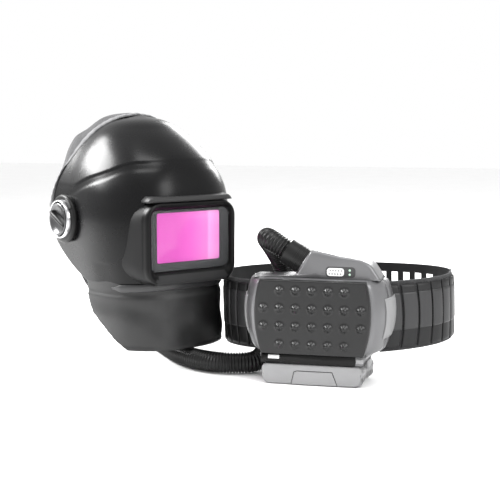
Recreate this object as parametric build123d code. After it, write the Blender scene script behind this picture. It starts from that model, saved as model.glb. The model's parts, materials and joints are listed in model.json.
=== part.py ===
from build123d import *
import os
from math import cos, pi, radians, sin, tan

os.makedirs("parts", exist_ok=True)

# Powered air respirator: a welding helmet, its breathing tube and a belt-worn blower unit.
# Millimetres, +Z up. The blower faces -Y. The helmet is drawn in its own frame, with its origin midway
# between its two side pivots and its face towards -Y, and is then set beside the blower.

# ---- driving dimensions: where the helmet stands ----
HELMET_AT = (-317.5, 113, 221.5)
HELMET_YAW = 50.6

# ---- driving dimensions: shield ----
SHELL_WALL = 2.5
SHELL_WIDEST_Y = -20
# height, half width, front, squareness of the nose
SHELL_SECTIONS = [
    (-118, 97, -153, 2.5),
    (-92, 103, -158, 2.6),
    (-60, 110, -162, 2.8),
    (0, 117, -164, 2.8),
    (40, 114, -163, 2.7),
    (64, 107, -157, 2.6),
    (91, 95, -143, 2.3),
    (114, 81, -119, 2.1),
    (135, 61, -89, 2.0),
    (151, 34, -60, 2.0),
]
CURTAIN_SECTIONS = [
    (-72, 106, -160, 2.6),
    (-118, 94.5, -150.5, 2.4),
    (-160, 82, -147, 2.3),
    (-178, 73, -140, 2.2),
    (-188, 57, -124, 2.1),
]
CURTAIN_WALL = 3
VISOR_HALF_WIDTH = (76, 97)
VISOR_Z = (-89, 31)
VISOR_Y = (-170, -112)
VISOR_CORNER = 22
BROW_HEIGHT = 8
BEZEL_SIZE = (138, 89)
BEZEL_Z = -24.5
LENS_SIZE = (111, 73)
LENS_Z = -21
COVER_PLATE_Y = -164

# ---- driving dimensions: side pivots ----
PIVOT_BASE_RADIUS = 37
PIVOT_BASE_X = (118, 124)
KNOB_RADIUS = 25
RING_RADIUS = 29.5
RING_X = (124, 131)
KNOB_X = (124.5, 134)
BOLT_RADIUS = 5
ARM_X = (84, 88)

# ---- driving dimensions: headgear ----
HEAD_Y = 8
BAND_HALF_WIDTH = 80
BAND_HALF_DEPTH = 96
BAND_WALL = 3
BAND_Z = (11, 37)
CROWN_TOP = 110
COVER_RADIUS = 146.5
COVER_HALF_WIDTH = 108
COVER_REACH = 96
COVER_ROUNDNESS = 2.2
COVER_START_ANGLE = 84
COVER_SWEEP_ANGLE = 106
COVER_WALL = 2
RATCHET_Z = 24
RATCHET_RADIUS = 21
NAPE_AT = (0, 116, -34)
NAPE_TILT = radians(60)
NAPE_DIRECTION = (0, cos(NAPE_TILT), -sin(NAPE_TILT))

# ---- driving dimensions: breathing tube ----
TUBE_RADIUS = 15.5
TUBE_WALL = 2.5
CUFF_RADIUS = 19.5
CUFF_LENGTH = 30
UNIT_PORT_AT = (-18.9, 2, 169.6)
UNIT_PORT_TILT = radians(31.6)
UNIT_PORT_DIRECTION = (-cos(UNIT_PORT_TILT), 0, sin(UNIT_PORT_TILT))

# ---- driving dimensions: blower unit ----
UNIT_BASE = 43
UNIT_TOP = 150
UNIT_HALF = (97, 107, 94)
UNIT_FRONT = -38
UNIT_BACK = 34
UNIT_WALL = 2.5
COVER_HALF = (75.5, 82.5, 73)
COVER_DEPTH = 8
SHOE_HALF = 73.5
SHOE_Z = (29, 43)
BATTERY_TOP = 28.7
BUMP_RADIUS = 4.6
BUMP_PITCH = 23
TURRET_FRONT = -24
TURRET_BACK = 28
FAN_Z = 92
FAN_RADIUS = 39

# ---- driving dimensions: belt ----
BELT_CENTRE = (12, 117)
BELT_HALF_WIDTH = 174
BELT_HALF_DEPTH = 99
BELT_TILT = 1.6
BELT_Z = (34, 140)
STRAP_Z = (90, 143)
BELT_WALL = 4

FIT_GAP = 0.4
PARTS = {}


def block(x_range, y_range, z_range):
    """A box given by its limits."""
    size = [high - low for low, high in (x_range, y_range, z_range)]
    centre = [(high + low) / 2 for low, high in (x_range, y_range, z_range)]
    return Pos(*centre) * Box(*size)


def rod_x(radius, x_range, y=0, z=0):
    """A round bar along X."""
    low, high = min(x_range), max(x_range)
    return Pos((low + high) / 2, y, z) * Rot(0, 90, 0) * Cylinder(radius, high - low)


def rod_y(radius, y_range, x=0, z=0):
    """A round bar along Y."""
    low, high = min(y_range), max(y_range)
    return Pos(x, (low + high) / 2, z) * Rot(90, 0, 0) * Cylinder(radius, high - low)


def pipe_x(outer, inner, x_range, y=0, z=0):
    """A hollow round bar along X."""
    return rod_x(outer, x_range, y, z) - rod_x(inner, (min(x_range) - 1, max(x_range) + 1), y, z)


def pipe_y(outer, inner, y_range, x=0, z=0):
    """A hollow round bar along Y."""
    return rod_y(outer, y_range, x, z) - rod_y(inner, (min(y_range) - 1, max(y_range) + 1), x, z)


def rounded_slab(width, height, corner, y_range, x=0, z=0):
    """A plate standing in the XZ plane, with rounded corners."""
    low, high = min(y_range), max(y_range)
    plane = Plane(origin=(x, high, z), x_dir=(1, 0, 0), z_dir=(0, -1, 0))
    return extrude(plane * RectangleRounded(width, height, corner), high - low)


def bar_along(radius, start, direction, length):
    """A round bar from a point along a direction."""
    return extrude(Plane(origin=start, z_dir=direction) * Circle(radius), length)


def pipe_along(outer, inner, start, direction, length):
    """A hollow round bar from a point along a direction."""
    return extrude(Plane(origin=start, z_dir=direction) * (Circle(outer) - Circle(inner)), length)


def prism_x(outline, half_width):
    """A solid with a side outline of (y, z) points, centred on x = 0."""
    plane = Plane(origin=(-half_width, 0, 0), x_dir=(0, 1, 0), z_dir=(1, 0, 0))
    return extrude(plane * make_face(Polyline(*outline, close=True)), 2 * half_width)


# ---------------------------------------------------------------- shield


def nose_section(height, half_width, front, squareness, back):
    """The helmet's plan at one height: straight sides and a squared-off round nose."""
    depth = SHELL_WIDEST_Y - front
    steps = 14
    nose = []
    for step in range(steps + 1):
        turn = pi * step / steps
        across = abs(cos(turn)) ** (2 / squareness)
        along = abs(sin(turn)) ** (2 / squareness)
        side = 1 if cos(turn) >= 0 else -1
        nose.append((side * half_width * across, SHELL_WIDEST_Y - depth * along))
    curve = Spline(*nose, tangents=[(0, -1), (0, 1)])
    sides = Polyline((-half_width, SHELL_WIDEST_Y), (-half_width, back), (half_width, back),
                     (half_width, SHELL_WIDEST_Y))
    return Pos(0, 0, height) * make_face(curve + sides)


def nose_solid(sections, inset=0, top_drop=0, back=60):
    """A solid through the plan sections, shrunk by inset on every side."""
    faces = []
    for height, half_width, front, squareness in sections:
        lift = -top_drop if height == sections[-1][0] else 0
        faces.append(nose_section(height + lift, half_width - inset, front + inset, squareness, back))
    return loft(faces)


def shell_side():
    """The shell's side outline: it ends in a round ear behind the pivot."""
    outline = [(-210, -118), (-104, -116), (-60, -103), (-21, -84), (14, -60), (38, -36), (44, -10), (44, 20),
               (38, 46), (30, 68), (18, 92), (0, 122), (-9, 140), (-18, 160), (-210, 160)]
    return prism_x(outline, 140)


def visor_section(half_width, z_range, y):
    """The visor frame's outline at one depth."""
    height = z_range[1] - z_range[0]
    plane = Plane(origin=(0, y, (z_range[0] + z_range[1]) / 2), x_dir=(1, 0, 0), z_dir=(0, -1, 0))
    return plane * RectangleRounded(2 * half_width, height, VISOR_CORNER)


def visor_block():
    """The whole volume that the visor frame fills: it flares back to the shell."""
    front = visor_section(VISOR_HALF_WIDTH[0], VISOR_Z, VISOR_Y[0])
    back = visor_section(VISOR_HALF_WIDTH[1], (VISOR_Z[0] - 6, VISOR_Z[1] + 4), VISOR_Y[1])
    return loft([back, front])


def brow_block():
    """The bar over the visor."""
    half = VISOR_HALF_WIDTH[0] - 3
    low = VISOR_Z[1]
    bar = block((-half, half), (VISOR_Y[0] - 1, -140), (low, low + BROW_HEIGHT))
    return bar - visor_block()


def build_shell():
    """The shield's shell: a thin wall with a visor window, open behind and below."""
    inner_sections = [(-130, 95, -156, 2.6)] + SHELL_SECTIONS[1:]
    shell = nose_solid(SHELL_SECTIONS) - nose_solid(inner_sections, SHELL_WALL, SHELL_WALL, 80)
    shell = shell & shell_side()
    shell -= visor_block()
    shell -= brow_block()
    shell -= rod_x(BOLT_RADIUS + 4, (-130, 130))
    return largest(shell)


def largest(shape):
    """The biggest solid of a shape, without stray slivers."""
    return max(shape.solids(), key=lambda solid: solid.volume)


def build_visor_frame():
    """The deep frame around the lens window."""
    frame = visor_block()
    plate = COVER_PLATE_Y
    frame -= rounded_slab(BEZEL_SIZE[0] + 6, BEZEL_SIZE[1] + 6, 14, (plate, VISOR_Y[0] - 1), 0, BEZEL_Z)
    frame -= rounded_slab(*BEZEL_SIZE, 11, (plate + 17, plate - 1), 0, BEZEL_Z)
    frame -= rounded_slab(2 * VISOR_HALF_WIDTH[0], 108, 18, (VISOR_Y[1] + 1, plate + 17), 0, BEZEL_Z - 3)
    return frame


def build_lens_pieces():
    """The lens stack, from the clear plate outside to the clear plate inside."""
    front = COVER_PLATE_Y
    PARTS["cover_plate"] = rounded_slab(BEZEL_SIZE[0], BEZEL_SIZE[1], 11, (front + 1.5, front), 0, BEZEL_Z)
    bezel = rounded_slab(BEZEL_SIZE[0], BEZEL_SIZE[1], 11, (front + 6, front + 1.5), 0, BEZEL_Z)
    bezel -= rounded_slab(LENS_SIZE[0], LENS_SIZE[1], 4, (front + 7, front), 0, LENS_Z)
    sensors = Part()
    for side in (-1, 1):
        sensors += rod_y(3, (front + 3, front + 6), side * 62.5, BEZEL_Z + 30)
    PARTS["arc_sensors"] = sensors
    PARTS["lens_bezel"] = bezel - sensors
    glass = rounded_slab(LENS_SIZE[0] + 6, LENS_SIZE[1] + 6, 5, (front + 8.5, front + 6), 0, LENS_Z)
    PARTS["filter_glass"] = glass
    button_at = (44, LENS_Z - 38)
    case = rounded_slab(134, 86, 8, (front + 17, front + 6), 0, BEZEL_Z)
    case -= glass
    case -= rounded_slab(108, 60, 4, (front + 18, front + 5), 0, LENS_Z)
    case -= rod_y(4 + FIT_GAP, (front + 13, front + 18), *button_at)
    PARTS["filter_cartridge"] = case
    PARTS["mode_button"] = rod_y(4, (front + 14.5, front + 19), *button_at)
    PARTS["inner_cover_plate"] = rounded_slab(116, 62, 4, (front + 18.5, front + 17), 0, LENS_Z)


def build_chin_trim(shell_outer):
    """The raised band that runs round the chin under the visor."""
    ring = nose_section(-96, 104.5, -160, 2.6, 60)
    band = extrude(ring, 9) - shell_outer
    return largest((band & block((-120, 120), (-200, -60), (-110, -80))) - visor_block())


def build_curtain(shell):
    """The flexible chin curtain: a bib below the shell, closer to the throat at the sides."""
    inner_sections = CURTAIN_SECTIONS[:4] + [(-200, 58, -130, 2.2)]
    bib = nose_solid(CURTAIN_SECTIONS) - nose_solid(inner_sections, CURTAIN_WALL, 0, 80)
    outline = [(-200, -76), (-34, -76), (-40, -106), (-49, -127), (-70, -149), (-97, -171), (-122, -189),
               (-200, -189)]
    bib = bib & prism_x(outline, 140)
    return largest(bib - shell - visor_block())


def build_pivots():
    """Per side: a base on the shell, a metal ring, a turning knob with a grip fin, and a bolt."""
    bases = Part()
    rings = Part()
    bolts = Part()
    for side, name in ((-1, "right"), (1, "left")):
        base = pipe_x(PIVOT_BASE_RADIUS, BOLT_RADIUS + FIT_GAP, [side * x for x in PIVOT_BASE_X])
        bases += base
        rings += pipe_x(RING_RADIUS, KNOB_RADIUS + 0.6, [side * x for x in RING_X])
        knob = rod_x(KNOB_RADIUS, [side * x for x in KNOB_X])
        knob -= pipe_x(KNOB_RADIUS - 2, 0.01, [side * x for x in (KNOB_X[1] - 5, KNOB_X[1] + 1)])
        fin = block((KNOB_X[1] - 5.5, KNOB_X[1] + 3), (-3, 3), (-KNOB_RADIUS + 3, KNOB_RADIUS - 3))
        fin = Rot(side * 40, 0, 0) * (fin if side > 0 else mirror(fin, Plane.YZ))
        PARTS["pivot_knob_" + name] = knob + fin
        bolt = rod_x(BOLT_RADIUS, [side * x for x in (ARM_X[0] - 4, PIVOT_BASE_X[1])])
        bolts += bolt + rod_x(BOLT_RADIUS + 4, [side * x for x in (ARM_X[0] - 7, ARM_X[0])])
    PARTS["pivot_bases"] = bases - PARTS["shield_shell"]
    PARTS["knob_rings"] = rings
    PARTS["pivot_bolts"] = bolts


def build_shield():
    """Every piece that swings with the shield, with its side pivots."""
    shell = build_shell()
    PARTS["shield_shell"] = shell
    PARTS["visor_frame"] = build_visor_frame()
    PARTS["brow_bar"] = brow_block()
    build_lens_pieces()
    outer = nose_solid(SHELL_SECTIONS)
    PARTS["chin_trim"] = build_chin_trim(outer)
    PARTS["chin_curtain"] = build_curtain(shell)
    build_pivots()


# ---------------------------------------------------------------- headgear


def band_ring(grow, z_range):
    """An oval ring about the head."""
    low, high = z_range
    outer = Ellipse(BAND_HALF_WIDTH + grow + BAND_WALL, BAND_HALF_DEPTH + grow + BAND_WALL)
    inner = Ellipse(BAND_HALF_WIDTH + grow, BAND_HALF_DEPTH + grow)
    return Pos(0, HEAD_Y, low) * extrude(outer - inner, high - low)


def build_headband():
    """The headband's fixed front, its two sliding rack ends and the two soft pads."""
    ring = band_ring(0, BAND_Z)
    rear = block((-46, 46), (60, 140), (0, 60))
    PARTS["headband"] = largest(ring - rear)
    outer = band_ring(BAND_WALL + FIT_GAP, (RATCHET_Z - 6, RATCHET_Z + 6))
    for side, name in ((-1, "right"), (1, "left")):
        reach = block(sorted((side * 16, side * 62)), (60, 140), (0, 60))
        PARTS["rack_" + name] = largest(outer & reach)
    pad = band_ring(-7, (BAND_Z[0] + 1, BAND_Z[1] - 1)) + band_ring(-4, (BAND_Z[0] + 1, BAND_Z[1] - 1))
    PARTS["brow_pad"] = largest(pad & block((-62, 62), (-100, -30), (0, 60)))
    PARTS["rear_pad"] = largest(pad & block((-40, 40), (60, 120), (0, 60)))
    back_y = HEAD_Y + BAND_HALF_DEPTH
    house = rounded_slab(44, 40, 8, (back_y + 1, back_y + 13), 0, RATCHET_Z)
    house -= block((-30, 30), (back_y - 1, back_y + 7.6), (RATCHET_Z - 6.4, RATCHET_Z + 6.4))
    PARTS["ratchet_housing"] = house - rod_y(5.4, (back_y, back_y + 20), 0, RATCHET_Z)
    knob = rod_y(RATCHET_RADIUS, (back_y + 13.4, back_y + 25), 0, RATCHET_Z)
    for step in range(12):
        angle = radians(step * 30)
        flute_x = (RATCHET_RADIUS + 1) * cos(angle)
        flute_z = RATCHET_Z + (RATCHET_RADIUS + 1) * sin(angle)
        knob -= rod_y(3, (back_y + 13, back_y + 26), flute_x, flute_z)
    PARTS["ratchet_knob"] = knob + rod_y(5, (back_y + 8, back_y + 14), 0, RATCHET_Z)


def build_crown_straps():
    """Two straps over the head, from one side of the headband to the other."""
    straps = Part()
    rise = CROWN_TOP - BAND_Z[1]
    for y in (-28, 42):
        reach = BAND_HALF_WIDTH * (1 - ((y - HEAD_Y) / BAND_HALF_DEPTH) ** 2) ** 0.5
        plane = Plane(origin=(0, y + 8, BAND_Z[1]), x_dir=(1, 0, 0), z_dir=(0, -1, 0))
        arch = Ellipse(reach + 2, rise) - Ellipse(reach - 0.5, rise - 2.5)
        strap = extrude(plane * arch, 16)
        straps += strap & block((-120, 120), (-120, 120), (BAND_Z[1], 160))
    return straps


def build_harness_arms():
    """The two side plates that carry the shield's pivots, with a spacer boss each."""
    arms = Part()
    for side in (-1, 1):
        outline = [(-22, 2), (-12, -12), (12, -12), (30, 8), (30, 35), (-22, 35)]
        plane = Plane(origin=(side * 86 - 2, 0, 0), x_dir=(0, 1, 0), z_dir=(1, 0, 0))
        arm = extrude(plane * make_face(Polyline(*outline, close=True)), 4)
        boss = rod_x(16, [side * x for x in (ARM_X[1], PIVOT_BASE_X[0] - 6)])
        arms += (arm + boss) - rod_x(BOLT_RADIUS, (-140, 140)) - rod_x(9.4, (-ARM_X[0], ARM_X[0]))
    return arms


def build_air_duct():
    """Two limbs round the back of the head, from the nape socket up to an outlet over the crown."""
    duct = block((-34, 34), (104, 128), (-46, -26))
    for side in (-1, 1):
        route = [(side * 26, 116, -36), (side * 50, 113, -16), (side * 52, 106, 40), (side * 49, 86, 80),
                 (side * 28, 52, 113)]
        path = FilletPolyline(*route, radius=18)
        limb = sweep(Plane(origin=path @ 0, z_dir=path % 0) * Circle(8), path=path)
        duct += limb
    duct += block((-40, 40), (24, 56), (CROWN_TOP + 2.5, CROWN_TOP + 14))
    duct -= block((-34, 34), (23, 52), (CROWN_TOP + 4.5, CROWN_TOP + 12))
    duct -= bar_along(CUFF_RADIUS + 1.5, along(NAPE_AT, NAPE_DIRECTION, 4.5), NAPE_DIRECTION, 40)
    return largest(duct)


def build_head_cover():
    """The fabric over the back of the head, as a thin turned dome about the pivot axis."""
    outer = []
    steps = 12
    for step in range(steps + 1):
        x = COVER_REACH * (2 * step / steps - 1)
        fall = (abs(x) / COVER_HALF_WIDTH) ** COVER_ROUNDNESS
        outer.append((x, COVER_RADIUS * (1 - fall) ** (1 / COVER_ROUNDNESS)))
    inner = [(x, radius - COVER_WALL) for x, radius in reversed(outer)]
    loop = Spline(*outer) + Line(outer[-1], inner[0]) + Spline(*inner) + Line(inner[-1], outer[0])
    profile = Rot(180 - COVER_START_ANGLE, 0, 0) * make_face(loop)
    return revolve(profile, Axis.X, -COVER_SWEEP_ANGLE)


def build_headgear():
    """Every piece that stays on the head when the shield is raised."""
    build_headband()
    PARTS["crown_straps"] = build_crown_straps() - PARTS["headband"]
    PARTS["harness_arms"] = build_harness_arms() - PARTS["headband"]
    PARTS["air_duct"] = build_air_duct()
    PARTS["airflow_slider"] = block((-47, -40.4), (36, 50), (CROWN_TOP + 3.5, CROWN_TOP + 12))
    PARTS["head_cover"] = build_head_cover()
    socket = pipe_along(CUFF_RADIUS - 2, 13, NAPE_AT, NAPE_DIRECTION, 20)
    PARTS["hose_socket"] = socket - PARTS["air_duct"]


# ---------------------------------------------------------------- blower unit


def barrel_face(half_widths, z_range):
    """A front outline: flat top and bottom, bulging sides."""
    top, middle, bottom = half_widths
    low, high = z_range
    centre = (low + high) / 2
    edges = Line((-top, high), (top, high)) + ThreePointArc((top, high), (middle, centre), (bottom, low))
    edges += Line((bottom, low), (-bottom, low))
    edges += ThreePointArc((-bottom, low), (-middle, centre), (-top, high))
    return make_face(edges)


def barrel(half_widths, z_range, y_range):
    """A solid with a bulging front outline."""
    low, high = min(y_range), max(y_range)
    plane = Plane(origin=(0, high, 0), x_dir=(1, 0, 0), z_dir=(0, -1, 0))
    return extrude(plane * barrel_face(half_widths, z_range), high - low)


def unit_plan(inset):
    """The blower's plan: flanks that sweep back from the front cover to the belt."""
    outline = [(-84 + inset, UNIT_FRONT + inset), (84 - inset, UNIT_FRONT + inset), (96 - inset, -8),
               (110 - inset, UNIT_BACK - inset), (-110 + inset, UNIT_BACK - inset), (-96 + inset, -8)]
    return extrude(make_face(Polyline(*outline, close=True)), 300)


def unit_body(inset):
    """The blower's body, shrunk by inset on every side."""
    half = [width - inset for width in UNIT_HALF]
    body = barrel(half, (UNIT_BASE + inset, UNIT_TOP - inset), (UNIT_FRONT + inset, UNIT_BACK - inset))
    return body & unit_plan(inset)


def turret_block(inset):
    """The rising top of the blower: a steep port face to the left, a long slope to the right."""
    outline = [(-92, UNIT_TOP), (-30, 151.5), (-7, 188.5), (1, 188.5), (36, 181.5), (67, 178), (80, 171),
               (94, UNIT_TOP)]
    high_y = TURRET_BACK - inset
    low_y = TURRET_FRONT + inset
    plane = Plane(origin=(0, high_y, 0), x_dir=(1, 0, 0), z_dir=(0, -1, 0))
    face = plane * make_face(Polyline(*outline, close=True))
    if inset:
        face = offset(face, -inset)
    return extrude(face, high_y - low_y)


def build_housings():
    """Front and rear housings: two shells that meet at y = 0, with the shoe that holds the battery."""
    shoe = block((-SHOE_HALF, SHOE_HALF), (UNIT_FRONT + 2, UNIT_BACK - 2), SHOE_Z)
    hollow = unit_body(UNIT_WALL)
    body = unit_body(0) + shoe
    body -= hollow
    body -= block((-SHOE_HALF + 3, SHOE_HALF - 3), (UNIT_FRONT + 6, UNIT_BACK - 6), (SHOE_Z[0] + 3, 60))
    window = barrel([width - 5 for width in COVER_HALF], (UNIT_BASE + 5, UNIT_TOP - 5), (-60, -30))
    body -= window
    body -= block((-24, 24), (-12, 20), (UNIT_TOP - 6, UNIT_TOP + 1))
    front = body & block((-150, 150), (-60, 0), (0, 200))
    rear = body & block((-150, 150), (0, 60), (0, 200))
    PARTS["front_housing"] = largest(front)
    PARTS["rear_housing"] = largest(rear)
    screws = Part()
    for x in (-82, 82):
        for z in (62, 128):
            screws += rod_y(3.4, (UNIT_BACK - 1.5, UNIT_BACK + 1), x, z)
            screws += rod_y(1.8, (8, UNIT_BACK - 1.4), x, z)
    PARTS["housing_screws"] = screws
    PARTS["rear_housing"] -= screws


def build_turret():
    """The turret cover with the tube port, the control panel and the power button."""
    turret = turret_block(0) - turret_block(UNIT_WALL)
    turret -= block((-24, 24), (-12, 20), (UNIT_TOP - 1, UNIT_TOP + 3))
    port = Plane(origin=UNIT_PORT_AT, z_dir=UNIT_PORT_DIRECTION)
    turret -= extrude(port * Circle(TUBE_RADIUS), 12, both=True)
    panel = rounded_slab(42, 15, 5, (TURRET_FRONT - 0.6, TURRET_FRONT + 1), 37, 160)
    button_hole = rounded_slab(24.8, 11.8, 4.4, (TURRET_FRONT - 1, TURRET_FRONT + 4), 30, 160)
    PARTS["power_button"] = rounded_slab(24, 11, 4, (TURRET_FRONT - 2, TURRET_FRONT + 0.5), 30, 160)
    PARTS["status_lights"] = rod_y(1.6, (TURRET_FRONT - 1, TURRET_FRONT + 2), 50, 157)
    PARTS["status_lights"] += rod_y(1.6, (TURRET_FRONT - 1, TURRET_FRONT + 2), 50, 163)
    PARTS["control_panel"] = panel - button_hole - PARTS["status_lights"]
    turret -= panel + button_hole + PARTS["status_lights"]
    PARTS["turret_cover"] = largest(turret)
    start = [a - 9 * b for a, b in zip(UNIT_PORT_AT, UNIT_PORT_DIRECTION)]
    PARTS["outlet_spigot"] = pipe_along(TUBE_RADIUS - 0.02, 11.5, start, UNIT_PORT_DIRECTION, 29)


def build_filter_stack():
    """Everything behind the bumpy front cover: spark screen, particle filter and its seal."""
    face = UNIT_FRONT - COVER_DEPTH
    cover = barrel(COVER_HALF, (UNIT_BASE + 0.6, UNIT_TOP - 0.4), (face, UNIT_FRONT - 0.4))
    cover -= barrel([width - 4 for width in COVER_HALF], (UNIT_BASE + 4, UNIT_TOP - 4),
                    (face + 2.5, UNIT_FRONT + 1))
    rows = [(39.4, 5), (13.9, 7), (-11.7, 7), (-37.3, 5)]
    for rise, count in rows:
        for step in range(count):
            x = (step - (count - 1) / 2) * BUMP_PITCH
            bump = Pos(x, face + 0.6, 95 + rise) * Sphere(BUMP_RADIUS)
            cover += bump & block((-90, 90), (-60, face + 1), (40, 160))
    PARTS["filter_cover"] = cover
    screen = rounded_slab(128, 84, 8, (UNIT_FRONT - 2, UNIT_FRONT - 0.6), 0, 97)
    PARTS["spark_arrestor"] = screen
    PARTS["particle_filter"] = rounded_slab(124, 80, 6, (UNIT_FRONT, UNIT_FRONT + 20), 0, 97)
    seal = rounded_slab(124, 80, 6, (UNIT_FRONT + 20.4, UNIT_FRONT + 23), 0, 97)
    PARTS["filter_seal"] = seal - rounded_slab(110, 66, 4, (UNIT_FRONT + 19, UNIT_FRONT + 25), 0, 97)


def build_fan():
    """The blower proper: a volute casing, a bladed impeller and its motor."""
    back = UNIT_BACK - UNIT_WALL
    volute = pipe_y(FAN_RADIUS + 7, FAN_RADIUS + 4, (UNIT_FRONT + 23, back - 5), 0, FAN_Z)
    floor = pipe_y(FAN_RADIUS + 7, 14, (back - 5, back - 2.5), 0, FAN_Z)
    PARTS["fan_volute"] = volute + floor
    wheel = pipe_y(FAN_RADIUS, 4, (back - 10, back - 8), 0, FAN_Z)
    for step in range(16):
        blade = block((20, FAN_RADIUS - 1), (back - 26, back - 9.5), (-0.8, 0.8))
        wheel += Pos(0, 0, FAN_Z) * Rot(0, step * 22.5, 0) * blade
    wheel += pipe_y(FAN_RADIUS, FAN_RADIUS - 3, (back - 27, back - 25.9), 0, FAN_Z)
    wheel += pipe_y(7, 4, (back - 16, back - 9.5), 0, FAN_Z)
    PARTS["fan_impeller"] = wheel
    motor = rod_y(12, (back - 7.4, back), 0, FAN_Z)
    PARTS["fan_motor"] = motor + rod_y(3.6, (back - 15, back - 7.4), 0, FAN_Z)
    PARTS["circuit_board"] = block((56, 88), (back - 6, back - 4.4), (70, 120))
    PARTS["circuit_board"] += block((60, 72), (back - 10, back - 6), (80, 100))


def build_battery():
    """The battery case with its cells, and the sprung latch on its right."""
    case = block((-SHOE_HALF, SHOE_HALF), (UNIT_FRONT - 2, UNIT_BACK - 2), (0, BATTERY_TOP))
    case = fillet(case.edges().filter_by(Axis.Z), 9)
    case = fillet(case.faces().sort_by(Axis.Z)[0].edges(), 6)
    case -= block((-70, 70), (UNIT_FRONT + 3, UNIT_BACK - 6), (2.5, BATTERY_TOP - 2.5))
    groove = block((-26, 32), (UNIT_FRONT - 3, UNIT_FRONT - 1), (-1, 19))
    PARTS["battery_case"] = case - groove
    cells = Part()
    for x in (-35, 35):
        for y in (-20, 0, 18):
            cells += rod_x(9, (x - 32.5, x + 32.5), y - 2, 12.5)
    PARTS["battery_cells"] = cells
    PARTS["battery_latch"] = block((SHOE_HALF + FIT_GAP, SHOE_HALF + 5), (-20, 6), (24, 36))
    strip_z = (SHOE_Z[0] + 0.6, SHOE_Z[1])
    PARTS["name_strip"] = block((-SHOE_HALF, SHOE_HALF - 12), (UNIT_FRONT - 2, UNIT_FRONT + 2), strip_z)


# ---------------------------------------------------------------- belt


def belt_ring(wall, grow, z_range):
    """An oval ring round the waist."""
    low, high = z_range
    outer = Ellipse(BELT_HALF_WIDTH + grow, BELT_HALF_DEPTH + grow)
    inner = Ellipse(BELT_HALF_WIDTH + grow - wall, BELT_HALF_DEPTH + grow - wall)
    return Pos(BELT_CENTRE[0], BELT_CENTRE[1], low) * extrude(outer - inner, high - low)


def build_wing(side):
    """One ribbed side of the belt, from the blower's flank to the widest point."""
    outer_x = BELT_CENTRE[0] + side * BELT_HALF_WIDTH
    reach = block(sorted((side * 90, outer_x + side * 9)), (-40, BELT_CENTRE[1] + 12), (0, 200))
    reach -= block((-110, -80), (20, 70), (0, 47))
    wing = belt_ring(BELT_WALL, 0, BELT_Z) & reach
    for step in range(6):
        y = 44 + 14 * step
        slot = belt_ring(1.6, 0.1, (BELT_Z[0] - 1, BELT_Z[1] + 1))
        wing -= slot & block(sorted((0, outer_x + side * 9)), (y, y + 2.2), (0, 200))
    return largest(Rot(0, -BELT_TILT, 0) * wing - unit_body(0))


def build_strap(side):
    """One slotted strap round the wearer's front, from a wing to the buckle."""
    low_x = BELT_CENTRE[0] + (20 if side > 0 else -2)
    outer_x = BELT_CENTRE[0] + side * (BELT_HALF_WIDTH + 1)
    reach = block(sorted((low_x, outer_x)), (BELT_CENTRE[1] + 12.2, 260), (0, 200))
    strap = largest(belt_ring(2.5, -0.5, STRAP_Z) & reach)
    for step in range(5):
        x = BELT_CENTRE[0] + side * (60 + 19 * step)
        strap -= block((x - 5, x + 5), (140, 260), (STRAP_Z[0] + 21, STRAP_Z[1] - 14))
    return largest(Rot(0, -BELT_TILT, 0) * strap)


def build_buckle():
    """The belt lock between the strap ends, with its sprung release button."""
    y = BELT_CENTRE[1] + BELT_HALF_DEPTH
    case = block((BELT_CENTRE[0] - 16, BELT_CENTRE[0] + 34), (y - 9, y + 5), (104, 136))
    case -= PARTS["rear_strap_left"] + PARTS["rear_strap_right"]
    case -= block((2, 30), (y + 0.6, y + 6), (113, 127))
    PARTS["belt_buckle"] = largest(case)
    PARTS["buckle_button"] = block((2.5, 29.5), (y + 3, y + 7), (113.5, 126.5))


def build_belt():
    """The whole belt."""
    PARTS["belt_wing_left"] = build_wing(1)
    PARTS["belt_wing_right"] = build_wing(-1)
    PARTS["rear_strap_left"] = build_strap(1)
    PARTS["rear_strap_right"] = build_strap(-1)
    build_buckle()


# ---------------------------------------------------------------- breathing tube


def helmet_frame():
    """Where the helmet's own frame stands beside the blower."""
    return Location(HELMET_AT, (0, 0, HELMET_YAW))


def along(start, direction, distance):
    """The point at a distance from another along a direction."""
    return tuple(a + distance * b for a, b in zip(start, direction))


def helmet_port():
    """The nape socket's mouth and the direction that it points in, beside the blower."""
    frame = helmet_frame()
    mouth = (frame * Pos(*NAPE_AT)).position
    ahead = (frame * Pos(*along(NAPE_AT, NAPE_DIRECTION, 1))).position
    return tuple(mouth), tuple(ahead - mouth)


def tube_route():
    """The tube's route: out of the blower, over and down behind it, along the floor, up to the nape."""
    mouth, direction = helmet_port()
    unit_end = along(UNIT_PORT_AT, UNIT_PORT_DIRECTION, CUFF_LENGTH + FIT_GAP)
    nape_end = along(mouth, direction, 6 + CUFF_LENGTH)
    floor = TUBE_RADIUS
    return [
        unit_end,
        along(unit_end, UNIT_PORT_DIRECTION, 28),
        (-81, 27, 201),
        (-79, 54, 187),
        (-66, 70, 158),
        (-57, 79, 122),
        (-60, 79, 86),
        (-73, 70, 54),
        (-87, 48, 25),
        (-94, 22, floor),
        (-117, 9, floor),
        (-148, 4, floor),
        (-181, 16, floor),
        (-210, 38, floor),
        (-236, 67, floor),
        (-259, 101, floor),
        (-285, 139, floor),
        (-309, 179, floor),
        (-339, 214, floor + 2),
        (-378, 235, 34),
        (-413, 238, 68),
        (-433, 225, 103),
        along(nape_end, direction, 30),
        nape_end,
    ]


def tube_radii(route):
    """The largest arc that the runs on both sides of each corner leave room for."""
    points = [Vector(*point) for point in route]
    radii = []
    for before, corner, after in zip(points, points[1:], points[2:]):
        arrive = corner - before
        leave = after - corner
        turn = radians(arrive.get_angle(leave))
        radii.append(0.45 * min(arrive.length, leave.length) / tan(turn / 2))
    return radii


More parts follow.
